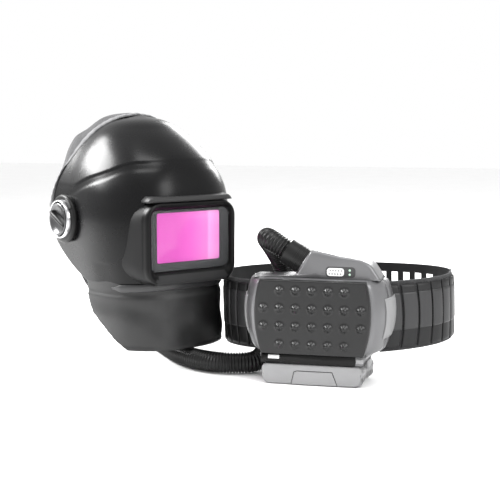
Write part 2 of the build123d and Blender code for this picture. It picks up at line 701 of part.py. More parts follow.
def build_tube():
    """The breathing tube and its two bayonet cuffs with their seals."""
    route = tube_route()
    radii = tube_radii(route)
    print("tube arc radii", [round(radius) for radius in radii])
    path = FilletPolyline(*route, radius=radii)
    start = Plane(origin=path @ 0, z_dir=path % 0)
    section = Circle(TUBE_RADIUS) - Circle(TUBE_RADIUS - TUBE_WALL)
    tube = sweep(start * section, path=path)
    print("tube length", round(path.length, 1), "volume", round(tube.volume), "expected",
          round(section.area * path.length))
    PARTS["breathing_tube"] = tube
    mouth, direction = helmet_port()
    ends = {"unit": (along(UNIT_PORT_AT, UNIT_PORT_DIRECTION, FIT_GAP), UNIT_PORT_DIRECTION, TUBE_RADIUS),
            "helmet": (along(mouth, direction, 6), direction, CUFF_RADIUS - 2)}
    seals = Part()
    for name, (base, way, spigot) in ends.items():
        cuff = pipe_along(CUFF_RADIUS, spigot + 0.4, base, way, CUFF_LENGTH - 8)
        cuff += pipe_along(CUFF_RADIUS, 11.5, along(base, way, CUFF_LENGTH - 8), way, 8)
        for step in range(3):
            ridge = along(base, way, 4 + 5 * step)
            cuff += pipe_along(CUFF_RADIUS + 0.8, CUFF_RADIUS - 1, ridge, way, 2)
        PARTS["tube_cuff_" + name] = cuff
        seals += pipe_along(spigot + 0.3, spigot - 1, along(base, way, 8), way, 2.4)
    PARTS["tube_seals"] = seals


# ---------------------------------------------------------------- assembly


def place_all():
    """Build everything, set the helmet beside the blower and centre the set on its own box."""
    build_shield()
    build_headgear()
    for name in PARTS:
        PARTS[name] = helmet_frame() * PARTS[name]
    build_housings()
    build_turret()
    build_filter_stack()
    build_fan()
    build_battery()
    build_belt()
    build_tube()
    PARTS["outlet_spigot"] -= PARTS["tube_seals"]
    PARTS["hose_socket"] -= PARTS["tube_seals"]
    loose = ("breathing_tube", "tube_cuff_unit", "tube_cuff_helmet", "tube_seals")
    box = Compound([solid for name, shape in PARTS.items() if name not in loose for solid in shape.solids()])
    box = box.bounding_box()
    shift = Pos(-(box.min.X + box.max.X) / 2, -(box.min.Y + box.max.Y) / 2, 0)
    for name in PARTS:
        PARTS[name] = shift * PARTS[name]
    print("size", box.size, "shift", shift.position, "nodes", len(PARTS))
    return shift


SHIFT = place_all()
for node, shape in PARTS.items():
    export_step(shape, "parts/" + node + ".step")
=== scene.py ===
import json
import math
import bmesh
import bpy
from mathutils import Matrix, Vector, noise


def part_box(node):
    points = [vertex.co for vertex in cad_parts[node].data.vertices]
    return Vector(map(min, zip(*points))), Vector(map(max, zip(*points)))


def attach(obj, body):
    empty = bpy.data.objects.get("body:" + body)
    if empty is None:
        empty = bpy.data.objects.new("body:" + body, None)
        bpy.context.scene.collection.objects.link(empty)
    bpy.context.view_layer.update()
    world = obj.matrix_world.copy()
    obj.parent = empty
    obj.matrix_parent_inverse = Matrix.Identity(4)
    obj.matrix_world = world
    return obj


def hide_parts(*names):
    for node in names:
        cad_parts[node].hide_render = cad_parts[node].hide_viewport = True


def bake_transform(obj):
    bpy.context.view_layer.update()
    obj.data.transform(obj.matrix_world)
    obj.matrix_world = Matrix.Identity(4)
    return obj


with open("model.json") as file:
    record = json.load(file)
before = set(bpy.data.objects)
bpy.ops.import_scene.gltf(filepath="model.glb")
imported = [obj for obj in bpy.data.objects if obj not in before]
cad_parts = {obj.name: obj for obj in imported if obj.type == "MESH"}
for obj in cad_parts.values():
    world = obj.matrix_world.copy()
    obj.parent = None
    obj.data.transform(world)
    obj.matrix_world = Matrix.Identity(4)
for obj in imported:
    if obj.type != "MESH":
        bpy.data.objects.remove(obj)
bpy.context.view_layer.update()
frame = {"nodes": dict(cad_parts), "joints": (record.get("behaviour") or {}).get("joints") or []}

MM = 0.001
WORLD_LIGHT = 1.0
FLOOR_HALF = 6
FLOOR_DROP = 0.0006

# ------------------------------------------------------------------ places, read from the frame

JOINTS = {joint["name"]: joint for joint in frame["joints"]}


def joint_place(name):
    """A joint's point and direction in the row frame."""
    joint = JOINTS[name]
    return Vector(joint["pos_m"]), Vector(joint["axis"]).normalized()


PIVOT, RAISE_AXIS = joint_place("shield_raise")
HELMET_YAW = math.atan2(-RAISE_AXIS.y, -RAISE_AXIS.x)
HELMET = Matrix.Translation(PIVOT) @ Matrix.Rotation(HELMET_YAW, 4, "Z")
COVER_LOW, COVER_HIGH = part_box("filter_cover")
UNIT_X = (COVER_LOW[0] + COVER_HIGH[0]) / 2
UNIT_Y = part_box("front_housing")[1][1]
UNIT = Matrix.Translation((UNIT_X, UNIT_Y, 0))

# ------------------------------------------------------------------ mesh helpers


def smooth_value(table, x, column=1):
    """A cubic curve through a table's rows, with gentle slopes."""
    count = len(table)
    if x <= table[0][0]:
        return table[0][column]
    if x >= table[-1][0]:
        return table[-1][column]
    index = max(i for i in range(count - 1) if table[i][0] <= x)

    def slope(i):
        low, high = max(i - 1, 0), min(i + 1, count - 1)
        return (table[high][column] - table[low][column]) / (table[high][0] - table[low][0])

    x0, x1 = table[index][0], table[index + 1][0]
    y0, y1 = table[index][column], table[index + 1][column]
    span = x1 - x0
    t = (x - x0) / span
    a, b = slope(index) * span, slope(index + 1) * span
    return ((2 * t ** 3 - 3 * t ** 2 + 1) * y0 + (t ** 3 - 2 * t ** 2 + t) * a
            + (3 * t ** 2 - 2 * t ** 3) * y1 + (t ** 3 - t ** 2) * b)


def resample(points, count):
    """The same line with evenly spaced points."""
    lengths = [0.0]
    for a, b in zip(points, points[1:]):
        lengths.append(lengths[-1] + (b - a).length)
    result = []
    index = 0
    for step in range(count):
        want = lengths[-1] * step / (count - 1)
        while index < len(points) - 2 and lengths[index + 1] < want:
            index += 1
        span = max(lengths[index + 1] - lengths[index], 1e-9)
        result.append(points[index].lerp(points[index + 1], min(1, (want - lengths[index]) / span)))
    return result


def add_piece(name, vertices, faces, place, body, material, smooth=True):
    """A mesh piece given in millimetres in a local frame, riding on a body."""
    mesh = bpy.data.meshes.new(name)
    mesh.from_pydata([place @ (Vector(v) * MM) for v in vertices], [], faces)
    mesh.validate()
    bm = bmesh.new()
    bm.from_mesh(mesh)
    bmesh.ops.remove_doubles(bm, verts=bm.verts, dist=1e-6)
    bmesh.ops.recalc_face_normals(bm, faces=bm.faces)
    bm.to_mesh(mesh)
    bm.free()
    for polygon in mesh.polygons:
        polygon.use_smooth = smooth
    piece = bpy.data.objects.new(name, mesh)
    bpy.context.scene.collection.objects.link(piece)
    for entry in material if isinstance(material, (list, tuple)) else [material]:
        mesh.materials.append(entry)
    if body:
        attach(piece, body)
    return piece


def grid_mesh(rows, around=False, caps=False):
    """Vertices and faces of a grid of rows of equal length."""
    width = len(rows[0])
    vertices = [tuple(point) for row in rows for point in row]
    faces = []
    for i in range(len(rows) - 1):
        for j in range(width if around else width - 1):
            k = (j + 1) % width
            faces.append((i * width + j, i * width + k, (i + 1) * width + k, (i + 1) * width + j))
    if caps:
        faces.append(tuple(range(width)))
        faces.append(tuple((len(rows) - 1) * width + j for j in range(width)))
    return vertices, faces


def modify(piece, kind, **settings):
    """A modifier with its settings."""
    modifier = piece.modifiers.new(kind.title(), kind)
    for key, value in settings.items():
        setattr(modifier, key, value)
    return modifier


def bake_modifiers(piece):
    """Turns a piece's modifiers into plain mesh."""
    graph = bpy.context.evaluated_depsgraph_get()
    mesh = bpy.data.meshes.new_from_object(piece.evaluated_get(graph))
    piece.modifiers.clear()
    piece.data = mesh


def thicken(piece, wall, offset=-1, subdivide=0):
    """Gives a sheet a wall, with crisp but smooth edges."""
    modify(piece, "SOLIDIFY", thickness=wall * MM, offset=offset, use_even_offset=False)
    if subdivide:
        modify(piece, "SUBSURF", levels=subdivide, render_levels=subdivide)


def sharpen(piece, width, segments=3, angle=35):
    """Small rounded edges."""
    modify(piece, "BEVEL", width=width * MM, segments=segments, limit_method="ANGLE",
           angle_limit=math.radians(angle), harden_normals=False)


def rounded_loop(half_w, half_h, corner, steps=8):
    """A rounded rectangle as (x, z) points, anticlockwise from the right."""
    points = []
    for quarter in range(4):
        sign_x = (1, -1, -1, 1)[quarter]
        sign_z = (1, 1, -1, -1)[quarter]
        for step in range(steps + 1):
            turn = math.pi / 2 * (quarter + step / steps)
            points.append((sign_x * (half_w - corner) + corner * math.cos(turn),
                           sign_z * (half_h - corner) + corner * math.sin(turn)))
    return points


def subdivided_loop(loop, longest):
    """The loop with extra points along its long runs."""
    result = []
    for (x0, z0), (x1, z1) in zip(loop, loop[1:] + loop[:1]):
        pieces = max(1, int(math.hypot(x1 - x0, z1 - z0) / longest))
        for step in range(pieces):
            result.append((x0 + (x1 - x0) * step / pieces, z0 + (z1 - z0) * step / pieces))
    return result


def lathe_x(profile, side, segments=72):
    """Rows of a shape turned about the X axis: profile points are (distance out, radius)."""
    rows = []
    for x, radius in profile:
        row = []
        for step in range(segments):
            turn = 2 * math.pi * step / segments
            row.append((side * x, radius * math.cos(turn), radius * math.sin(turn)))
        rows.append(row)
    return rows


# ------------------------------------------------------------------ materials


def new_material(name):
    """An empty node material and its main shader."""
    material = bpy.data.materials.new(name)
    material.use_nodes = True
    return material, material.node_tree, material.node_tree.nodes["Principled BSDF"]


def noise_node(tree, scale, detail=4, stretch=None):
    """Noise in the object's own coordinates."""
    coordinates = tree.nodes.new("ShaderNodeTexCoord")
    texture = tree.nodes.new("ShaderNodeTexNoise")
    texture.inputs["Scale"].default_value = scale
    texture.inputs["Detail"].default_value = detail
    if stretch:
        mapping = tree.nodes.new("ShaderNodeMapping")
        mapping.inputs["Scale"].default_value = stretch
        tree.links.new(coordinates.outputs["Object"], mapping.inputs["Vector"])
        tree.links.new(mapping.outputs["Vector"], texture.inputs["Vector"])
    else:
        tree.links.new(coordinates.outputs["Object"], texture.inputs["Vector"])
    return texture


def ramp_node(tree, source, stops):
    """A colour ramp fed by a value."""
    ramp = tree.nodes.new("ShaderNodeValToRGB")
    ramp.color_ramp.elements[0].position = stops[0][0]
    ramp.color_ramp.elements[0].color = (*stops[0][1], 1)
    ramp.color_ramp.elements[1].position = stops[-1][0]
    ramp.color_ramp.elements[1].color = (*stops[-1][1], 1)
    for position, colour in stops[1:-1]:
        ramp.color_ramp.elements.new(position).color = (*colour, 1)
    tree.links.new(source, ramp.inputs["Fac"])
    return ramp


def add_bump(tree, shader, height, strength, distance=0.0004):
    """Surface relief from a height value."""
    bump = tree.nodes.new("ShaderNodeBump")
    bump.inputs["Strength"].default_value = strength
    bump.inputs["Distance"].default_value = distance
    tree.links.new(height, bump.inputs["Height"])
    tree.links.new(bump.outputs["Normal"], shader.inputs["Normal"])


def plastic(name, colour, roughness, metallic=0.0, coat=0.0, mottle=0.12, grain=1400, relief=0.12,
            specular=0.5):
    """Moulded plastic: faint mottling, fine spark-eroded grain, uneven gloss."""
    material, tree, shader = new_material(name)
    clouds = noise_node(tree, 9, 3)
    dark = tuple(c * (1 - mottle) for c in colour)
    light = tuple(min(1, c * (1 + mottle)) for c in colour)
    ramp = ramp_node(tree, clouds.outputs["Fac"], [(0.35, dark), (0.65, light)])
    tree.links.new(ramp.outputs["Color"], shader.inputs["Base Color"])
    smudges = noise_node(tree, 26, 5)
    gloss = tree.nodes.new("ShaderNodeMapRange")
    gloss.inputs["To Min"].default_value = max(0.03, roughness - 0.05)
    gloss.inputs["To Max"].default_value = roughness + 0.06
    tree.links.new(smudges.outputs["Fac"], gloss.inputs["Value"])
    tree.links.new(gloss.outputs["Result"], shader.inputs["Roughness"])
    shader.inputs["Metallic"].default_value = metallic
    shader.inputs["Coat Weight"].default_value = coat
    shader.inputs["Coat Roughness"].default_value = 0.12
    shader.inputs["Specular IOR Level"].default_value = specular
    add_bump(tree, shader, noise_node(tree, grain, 2).outputs["Fac"], relief, 0.0002)
    return material


def cloth(name, dark, light, thread=900, relief=0.5, sheen=0.3, roughness=0.9):
    """Woven cloth: crossing threads in two tones with a heathered fleck."""
    material, tree, shader = new_material(name)
    fleck = noise_node(tree, thread, 4, (1.0, 1.0, 2.6))
    patch = noise_node(tree, 60, 3)
    mix = tree.nodes.new("ShaderNodeMath")
    mix.operation = "MULTIPLY_ADD"
    mix.inputs[1].default_value = 0.75
    tree.links.new(fleck.outputs["Fac"], mix.inputs[0])
    scaled = tree.nodes.new("ShaderNodeMath")
    scaled.operation = "MULTIPLY"
    scaled.inputs[1].default_value = 0.25
    tree.links.new(patch.outputs["Fac"], scaled.inputs[0])
    tree.links.new(scaled.outputs[0], mix.inputs[2])
    middle = tuple((a + b) / 2 for a, b in zip(dark, light))
    ramp = ramp_node(tree, mix.outputs[0], [(0.36, dark), (0.5, middle), (0.64, light)])
    tree.links.new(ramp.outputs["Color"], shader.inputs["Base Color"])
    coordinates = tree.nodes.new("ShaderNodeTexCoord")
    waves = []
    for direction in ("X", "Z"):
        wave = tree.nodes.new("ShaderNodeTexWave")
        wave.bands_direction = direction
        wave.inputs["Scale"].default_value = thread * 0.32
        wave.inputs["Distortion"].default_value = 1.2
        tree.links.new(coordinates.outputs["Object"], wave.inputs["Vector"])
        waves.append(wave)
    weave = tree.nodes.new("ShaderNodeMath")
    weave.operation = "MULTIPLY"
    tree.links.new(waves[0].outputs["Fac"], weave.inputs[0])
    tree.links.new(waves[1].outputs["Fac"], weave.inputs[1])
    add_bump(tree, shader, weave.outputs[0], relief, 0.0005)
    shader.inputs["Roughness"].default_value = roughness
    shader.inputs["Sheen Weight"].default_value = sheen
    shader.inputs["Sheen Roughness"].default_value = 0.5
    return material


def metal(name, colour, roughness, brushed=0.15):
    """Metal with fine brushing."""
    material, tree, shader = new_material(name)
    lines = noise_node(tree, 300, 3, (1, 1, 14))
    dark = tuple(c * (1 - brushed) for c in colour)
    ramp = ramp_node(tree, lines.outputs["Fac"], [(0.3, dark), (0.7, colour)])
    tree.links.new(ramp.outputs["Color"], shader.inputs["Base Color"])
    shader.inputs["Metallic"].default_value = 1.0
    shader.inputs["Roughness"].default_value = roughness
    add_bump(tree, shader, lines.outputs["Fac"], 0.1, 0.0001)
    return material


def clear(name, colour, alpha):
    """A clear plate that mostly shows its gloss."""
    material, tree, shader = new_material(name)
    smear = noise_node(tree, 40, 4)
    bright = tuple(min(1, c * 1.04) for c in colour)
    ramp = ramp_node(tree, smear.outputs["Fac"], [(0.4, colour), (0.6, bright)])
    tree.links.new(ramp.outputs["Color"], shader.inputs["Base Color"])
    shader.inputs["Alpha"].default_value = alpha
    shader.inputs["Roughness"].default_value = 0.06
    return material


def painted_reflection_lens(name):
    """The coated filter glass with a painted reflection: deep magenta on the wearer's right, paler pink on
    the left with a painted light streak, and a faint painted glow.
    """
    material, tree, shader = new_material(name)
    coordinates = tree.nodes.new("ShaderNodeTexCoord")
    mapping = tree.nodes.new("ShaderNodeMapping")
    mapping.vector_type = "TEXTURE"
    mapping.inputs["Location"].default_value = PIVOT
    mapping.inputs["Rotation"].default_value = (0, 0, HELMET_YAW)
    tree.links.new(coordinates.outputs["Object"], mapping.inputs["Vector"])
    split = tree.nodes.new("ShaderNodeSeparateXYZ")
    tree.links.new(mapping.outputs["Vector"], split.inputs["Vector"])
    reach = tree.nodes.new("ShaderNodeMapRange")
    reach.inputs["From Min"].default_value = -0.056
    reach.inputs["From Max"].default_value = 0.056
    tree.links.new(split.outputs["X"], reach.inputs["Value"])
    # These stops paint a reflection across the glass: deep magenta on one side, paler pink towards the other,
    # with a painted light streak near 0.83.
    stops = [(0.0, (0.44, 0.030, 0.30)), (0.30, (0.47, 0.040, 0.32)), (0.55, (0.58, 0.085, 0.41)),
             (0.80, (0.66, 0.16, 0.48)), (0.83, (0.74, 0.27, 0.57)), (1.0, (0.66, 0.18, 0.50))]
    ramp = ramp_node(tree, reach.outputs["Result"], stops)
    tree.links.new(ramp.outputs["Color"], shader.inputs["Base Color"])
    # The same colour feeds emission: a faint painted glow, the glass is no lamp.
    tree.links.new(ramp.outputs["Color"], shader.inputs["Emission Color"])
    shader.inputs["Emission Strength"].default_value = 0.25
    shader.inputs["Roughness"].default_value = 0.12
    shader.inputs["Coat Weight"].default_value = 0.3
    shader.inputs["Coat Roughness"].default_value = 0.05
    return material


SHELL_BLACK = plastic("shell_black", (0.0035, 0.0035, 0.0038), 0.27, relief=0.10, specular=0.16)
VISOR_BLACK = plastic("visor_black", (0.004, 0.004, 0.0042), 0.32, relief=0.12, specular=0.15)
# The arc sensors' own black; on the visor frame's recess faces it is a painted darker, duller shade.
SENSOR_BLACK_AND_RECESS_SHADE = plastic("sensor_black_and_recess_shade", (0.003, 0.003, 0.003), 0.45, specular=0.1)
# Painted highlight grey on the brow bar; also the grey of the pivot windows.
BROW_HIGHLIGHT_AND_WINDOW_GREY = plastic("brow_grey", (0.026, 0.026, 0.0265), 0.5, specular=0.25)
BEZEL_GREY = plastic("bezel_grey", (0.016, 0.016, 0.0165), 0.5, specular=0.15)
# Painted highlight: the chin band's pale grey stands for light on its fold.
CHIN_BAND_PAINTED_HIGHLIGHT = plastic("chin_band_painted_highlight", (0.022, 0.022, 0.023), 0.30, specular=0.4)
PIVOT_BLACK = plastic("pivot_black", (0.005, 0.005, 0.005), 0.42, specular=0.2)
KNOB_METAL = plastic("knob_metal", (0.10, 0.10, 0.102), 0.24, metallic=0.85, mottle=0.2)
RING_SILVER = metal("ring_silver", (0.50, 0.50, 0.51), 0.22, 0.05)
STEEL = metal("bolt_steel", (0.55, 0.55, 0.57), 0.32)
LENS = painted_reflection_lens("lens_magenta")
CLEAR = clear("clear_plate", (0.9, 0.93, 0.97), 0.02)
COVER_GREY = cloth("cover_grey", (0.015, 0.015, 0.016), (0.070, 0.070, 0.073), 1300, 0.7, 0.04)
HEM_GREY = cloth("hem_grey", (0.06, 0.06, 0.062), (0.21, 0.21, 0.215), 1500, 0.45, 0.1)
CURTAIN_BLACK = cloth("curtain_black", (0.002, 0.002, 0.0021), (0.005, 0.005, 0.0052), 1100, 0.25, 0.0, 0.42)
HARNESS = plastic("harness_grey", (0.05, 0.05, 0.053), 0.5)
PAD = cloth("pad_towelling", (0.02, 0.02, 0.022), (0.06, 0.06, 0.065), 1600, 0.8, 0.5)
DUCT = plastic("duct_black", (0.014, 0.014, 0.015), 0.46)
ORANGE = plastic("slider_orange", (0.80, 0.24, 0.03), 0.4)
HOSE_BLACK = plastic("hose_black", (0.005, 0.005, 0.005), 0.30, relief=0.2, specular=0.3)
CUFF_BLACK = plastic("cuff_black", (0.006, 0.006, 0.006), 0.36, specular=0.3)
BODY_SILVER = plastic("body_silver", (0.15, 0.15, 0.154), 0.34, metallic=0.45, mottle=0.07, specular=0.4)
BATTERY_GREY = plastic("battery_grey", (0.27, 0.27, 0.274), 0.40, metallic=0.2, mottle=0.07, specular=0.4)
FILTER_BLACK = plastic("filter_black", (0.007, 0.007, 0.0072), 0.30, specular=0.38)
STRIP_BLACK = plastic("strip_black", (0.004, 0.004, 0.004), 0.28, specular=0.2)
PANEL_GREY = plastic("panel_grey", (0.035, 0.035, 0.036), 0.45)
WHITE = plastic("button_white", (0.85, 0.85, 0.85), 0.35, mottle=0.03)
LIGHT_GREEN = plastic("light_green", (0.45, 0.62, 0.50), 0.25)
PAPER = cloth("filter_paper", (0.62, 0.61, 0.57), (0.84, 0.83, 0.79), 500, 0.5, 0.1)
CELL_BLUE = plastic("cell_blue", (0.05, 0.16, 0.42), 0.3)
BOARD_GREEN = plastic("board_green", (0.02, 0.12, 0.05), 0.35)
FAN_GREY = plastic("fan_grey", (0.06, 0.06, 0.065), 0.42)
BELT_DARK = plastic("belt_dark", (0.011, 0.011, 0.0115), 0.42, specular=0.3)
# Painted highlight: a lighter copy of the belt plastic for the raised middle facets.
BELT_PAINTED_HIGHLIGHT = plastic("belt_mid_painted_highlight", (0.028, 0.028, 0.029), 0.40, specular=0.4)
# Painted sheen and painted highlight: lighter copies of the visor frame's black plastic for its flanks and
# lower lip.
FLANK_PAINTED_SHEEN = plastic("flank_painted_sheen", (0.010, 0.010, 0.0104), 0.5, specular=0.15)
LIP_PAINTED_HIGHLIGHT = plastic("lip_painted_highlight", (0.022, 0.022, 0.0225), 0.42, specular=0.2)
# Painted highlight: pale grey for the flank facets that face the light.
TAB_PAINTED_HIGHLIGHT = plastic("tab_painted_highlight", (0.24, 0.24, 0.243), 0.5, specular=0.3)
BELT_RIM = cloth("belt_rim", (0.008, 0.008, 0.0085), (0.05, 0.05, 0.052), 700, 0.9, 0.05)
FLOOR = plastic("floor_pale", (0.93, 0.93, 0.93), 0.6, mottle=0.01, relief=0.0, specular=0.2)

CAD_LOOKS = {
    BEZEL_GREY: ("lens_bezel", "filter_cartridge"),
    SENSOR_BLACK_AND_RECESS_SHADE: ("arc_sensors",),
    LENS: ("filter_glass",),
    CLEAR: ("cover_plate", "inner_cover_plate"),
    STEEL: ("pivot_bolts", "housing_screws", "spark_arrestor", "fan_motor"),
    HARNESS: ("headband", "crown_straps", "harness_arms", "rack_left", "rack_right", "ratchet_housing"),
    FAN_GREY: ("fan_volute", "fan_impeller", "ratchet_knob"),
    DUCT: ("air_duct", "hose_socket", "outlet_spigot"),
    ORANGE: ("airflow_slider",),
    CUFF_BLACK: ("tube_cuff_unit", "tube_cuff_helmet", "tube_seals", "filter_seal"),
    LIGHT_GREEN: ("status_lights",),
    WHITE: ("power_button", "mode_button"),
    PANEL_GREY: ("control_panel",),
    PAPER: ("particle_filter",),
    CELL_BLUE: ("battery_cells",),
    BOARD_GREEN: ("circuit_board",),
    BELT_DARK: ("rear_strap_left", "rear_strap_right", "belt_buckle", "buckle_button"),
}


def paint_cad_nodes():
    """Gives each CAD node that stays its own material."""
    for material, names in CAD_LOOKS.items():
        for name in names:
            mesh = frame["nodes"][name].data
            mesh.materials.clear()
            mesh.materials.append(material)


# ------------------------------------------------------------------ breathing tube

TUBE_RADIUS = 0.0155
CUFF_REACH = 0.030
TUBE_ROUTE = [
    (-0.081, 0.027, 0.201),
    (-0.079, 0.054, 0.187),
    (-0.066, 0.070, 0.158),
    (-0.057, 0.079, 0.122),
    (-0.060, 0.079, 0.086),
    (-0.073, 0.070, 0.054),
    (-0.087, 0.048, 0.025),
    (-0.094, 0.022, 0.0155),
    (-0.117, 0.009, 0.0155),
    (-0.148, 0.004, 0.0155),
    (-0.181, 0.016, 0.0155),
    (-0.210, 0.038, 0.0155),
    (-0.236, 0.067, 0.0155),
    (-0.259, 0.101, 0.0155),
    (-0.285, 0.139, 0.0155),
    (-0.309, 0.179, 0.0155),
    (-0.339, 0.214, 0.0175),
    (-0.378, 0.235, 0.034),
    (-0.413, 0.238, 0.068),
    (-0.433, 0.225, 0.103),
]


def tube_points():
    """The route's points in the row frame, from the blower's port to the nape."""
    port, port_way = joint_place("cuff_unit_twist")
    nape, nape_way = joint_place("cuff_helmet_twist")
    start = port + port_way * (CUFF_REACH + 0.0004)
    end = nape + nape_way * (CUFF_REACH + 0.006)
    middle = [UNIT @ Vector(point) for point in TUBE_ROUTE]
    return [start, start + port_way * 0.028] + middle + [end + nape_way * 0.030, end]


def smooth_path(points, name):
    """The points of one smooth line through the route."""
    curve = bpy.data.curves.new(name, "CURVE")
    curve.dimensions = "3D"
    spline = curve.splines.new("NURBS")
    spline.points.add(len(points) - 1)
    for target, point in zip(spline.points, points):
        target.co = (*point, 1)
    spline.order_u = 3
    spline.use_endpoint_u = True
    spline.resolution_u = 24
    carrier = bpy.data.objects.new(name, curve)
    bpy.context.scene.collection.objects.link(carrier)
    graph = bpy.context.evaluated_depsgraph_get()
    mesh = bpy.data.meshes.new_from_object(carrier.evaluated_get(graph))
    line = [vertex.co.copy() for vertex in mesh.vertices]
    bpy.data.objects.remove(carrier)
    return line


def tube_piece():
    """The corrugated tube: many small ribs along one smooth line."""
    pitch = 0.0043
    rings_per_rib = 6
    around = 36
    line = smooth_path(tube_points(), "tube_line")
    length = sum((b - a).length for a, b in zip(line, line[1:]))
    ribs = int(length / pitch)
    centres = resample(line, ribs * rings_per_rib + 1)
    across = Vector((0, 1, 0))
    rows = []
    for index, centre in enumerate(centres):
        ahead = centres[min(index + 1, len(centres) - 1)] - centres[max(index - 1, 0)]
        ahead.normalize()
        across = (across - ahead * across.dot(ahead)).normalized()
        other = ahead.cross(across)
        wave = math.cos(2 * math.pi * (index % rings_per_rib) / rings_per_rib)
        rib = TUBE_RADIUS - 0.0011 + 0.0011 * math.copysign(abs(wave) ** 0.7, wave)
        row = []
        for step in range(around):
            turn = 2 * math.pi * step / around
            point = centre + (across * math.cos(turn) + other * math.sin(turn)) * rib
            row.append(point / MM)
        rows.append(row)
    vertices, faces = grid_mesh(rows, around=True, caps=True)
    tube = add_piece("corrugated_tube", vertices, faces, Matrix(), "harness", HOSE_BLACK)
    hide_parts("breathing_tube")
    return tube


# ------------------------------------------------------------------ shield

NOSE_Y = -20
SHELL_TABLE = [
    (-118, 97, -153, 2.5),
    (-92, 103, -158, 2.6),
    (-60, 110, -162, 2.8),
    (0, 117, -164, 2.8),
    (40, 114, -163, 2.7),
    (64, 107, -157, 2.6),
    (91, 95, -143, 2.3),
    (114, 81, -119, 2.1),
    (135, 61, -89, 2.0),
    (148, 38, -64, 2.0),
    (155, 5, -30, 2.0),
]
SHELL_REAR = [(-118, -106), (-116, -104), (-103, -60), (-84, -21), (-60, 14), (-36, 38), (-10, 44), (20, 44),
              (46, 38), (68, 30), (92, 18), (122, 0), (140, -9), (152, -16), (156, -18)]
BIB_TABLE = [
    (-76, 105.4, -159, 2.6),
    (-118, 94.5, -150.5, 2.4),
    (-160, 82, -147, 2.3),
    (-178, 73, -140, 2.2),
    (-188, 60, -126, 2.1),
]
BIB_REAR = [(-189, -122), (-171, -97), (-149, -70), (-127, -49), (-106, -40), (-76, -34)]
CREASE = [(-160, 90), (-124, 87.5), (-108, 83), (-92, 75.5), (-48, 61.5), (-20, 50)]


def step_up(value):
    """0 below 0, 1 above 1, smooth between."""
    value = min(1, max(0, value))
    return value * value * (3 - 2 * value)


def plan_line(table, height, rear, grow=0.0, count=140):
    """The helmet's plan at one height, from the wearer's right round the nose to the left."""
    half = smooth_value(table, height, 1) + grow
    depth = NOSE_Y - smooth_value(table, height, 2) + grow
    square = smooth_value(table, height, 3)
    points = []
    steps = 240
    for step in range(steps + 1):
        turn = math.pi * step / steps
        across = abs(math.cos(turn)) ** (2 / square)
        ahead = abs(math.sin(turn)) ** (2 / square)
        side = -1 if step < steps / 2 else 1
        points.append(Vector((side * half * across, NOSE_Y - depth * ahead, height)))
    if rear > NOSE_Y:
        points = [Vector((-half, rear, height))] + points + [Vector((half, rear, height))]
    else:
        points = [point for point in points if point.y <= rear]
    return resample(points, count)


def outward(point):
    """The level direction away from the helmet's axis."""
    way = Vector((point.x, point.y - NOSE_Y, 0))
    return way.normalized() if way.length > 1e-6 else Vector((0, -1, 0))


def inside_visor(point, margin):
    """Whether a point lies in the visor frame's volume."""
    deep = (point.y + 170) / 58
    half = 76 + 20 * deep - margin
    tall = 60 + 4 * deep - margin
    corner = 21 + 22 * deep
    over_x = abs(point.x) - half + corner
    over_z = abs(point.z + 29) - tall + corner
    in_corner = over_x > 0 and over_z > 0 and math.hypot(over_x, over_z) > corner
    in_frame = abs(point.x) < half and abs(point.z + 29) < tall and not in_corner
    in_brow = abs(point.x) < 73 - margin and 20 < point.z < 39 - margin and point.y < -140
    return point.y < -112 - margin and (in_frame or in_brow)


def open_window(vertices, faces, margin):
    """Leaves out the faces that the visor frame covers."""
    hidden = [inside_visor(Vector(vertex), margin) for vertex in vertices]
    kept = [face for face in faces if not all(hidden[i] for i in face)]
    used = sorted({i for face in kept for i in face})
    index = {old: new for new, old in enumerate(used)}
    return [vertices[i] for i in used], [tuple(index[i] for i in face) for face in kept]


def shell_piece():
    """The shield's shell, with the raised crown panel and the fine creases of its sides."""
    rows = []
    count = 136
    for step in range(count + 1):
        height = -117.5 + 273 * step / count
        rear = smooth_value(SHELL_REAR, height)
        row = []
        for point in plan_line(SHELL_TABLE, height, rear):
            crease = smooth_value(CREASE, point.y)
            fade = step_up((abs(point.x) - 20) / 50) * step_up((5 - point.y) / 30)
            raised = 1.5 * step_up((height - crease) / 2.0) * (0.25 + 0.75 * fade)
            raised -= 0.7 * step_up((height - crease + 15) / 5) * step_up((crease - height) / 10) * fade
            raised *= step_up((150 - height) / 30)
            along = step_up((point.y + 120) / 30) * step_up((-60 - point.y) / 30)
            cheek = 0.9 * along * step_up((-58 - height) / 4)
            row.append(point + outward(point) * (raised - cheek))
        rows.append(row)
    vertices, faces = grid_mesh(rows)
    vertices, faces = open_window(vertices, faces, 2.5)
    shell = add_piece("helmet_shell", vertices, faces, HELMET, "shield", SHELL_BLACK)
    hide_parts("shield_shell")
    thicken(shell, 2.5)
    return shell


def window_loop(half_w, half_h, corner, y, z):
    """A rounded rectangle standing across the helmet's face."""
    loop = subdivided_loop(rounded_loop(half_w, half_h, corner), 9)
    return [Vector((x, y, z + dz)) for x, dz in loop]


def matched_rows(rows, count=132):
    """Loops of unequal point counts, each resampled to the same count."""
    return [resample(row + [row[0]], count + 1)[:-1] for row in rows]


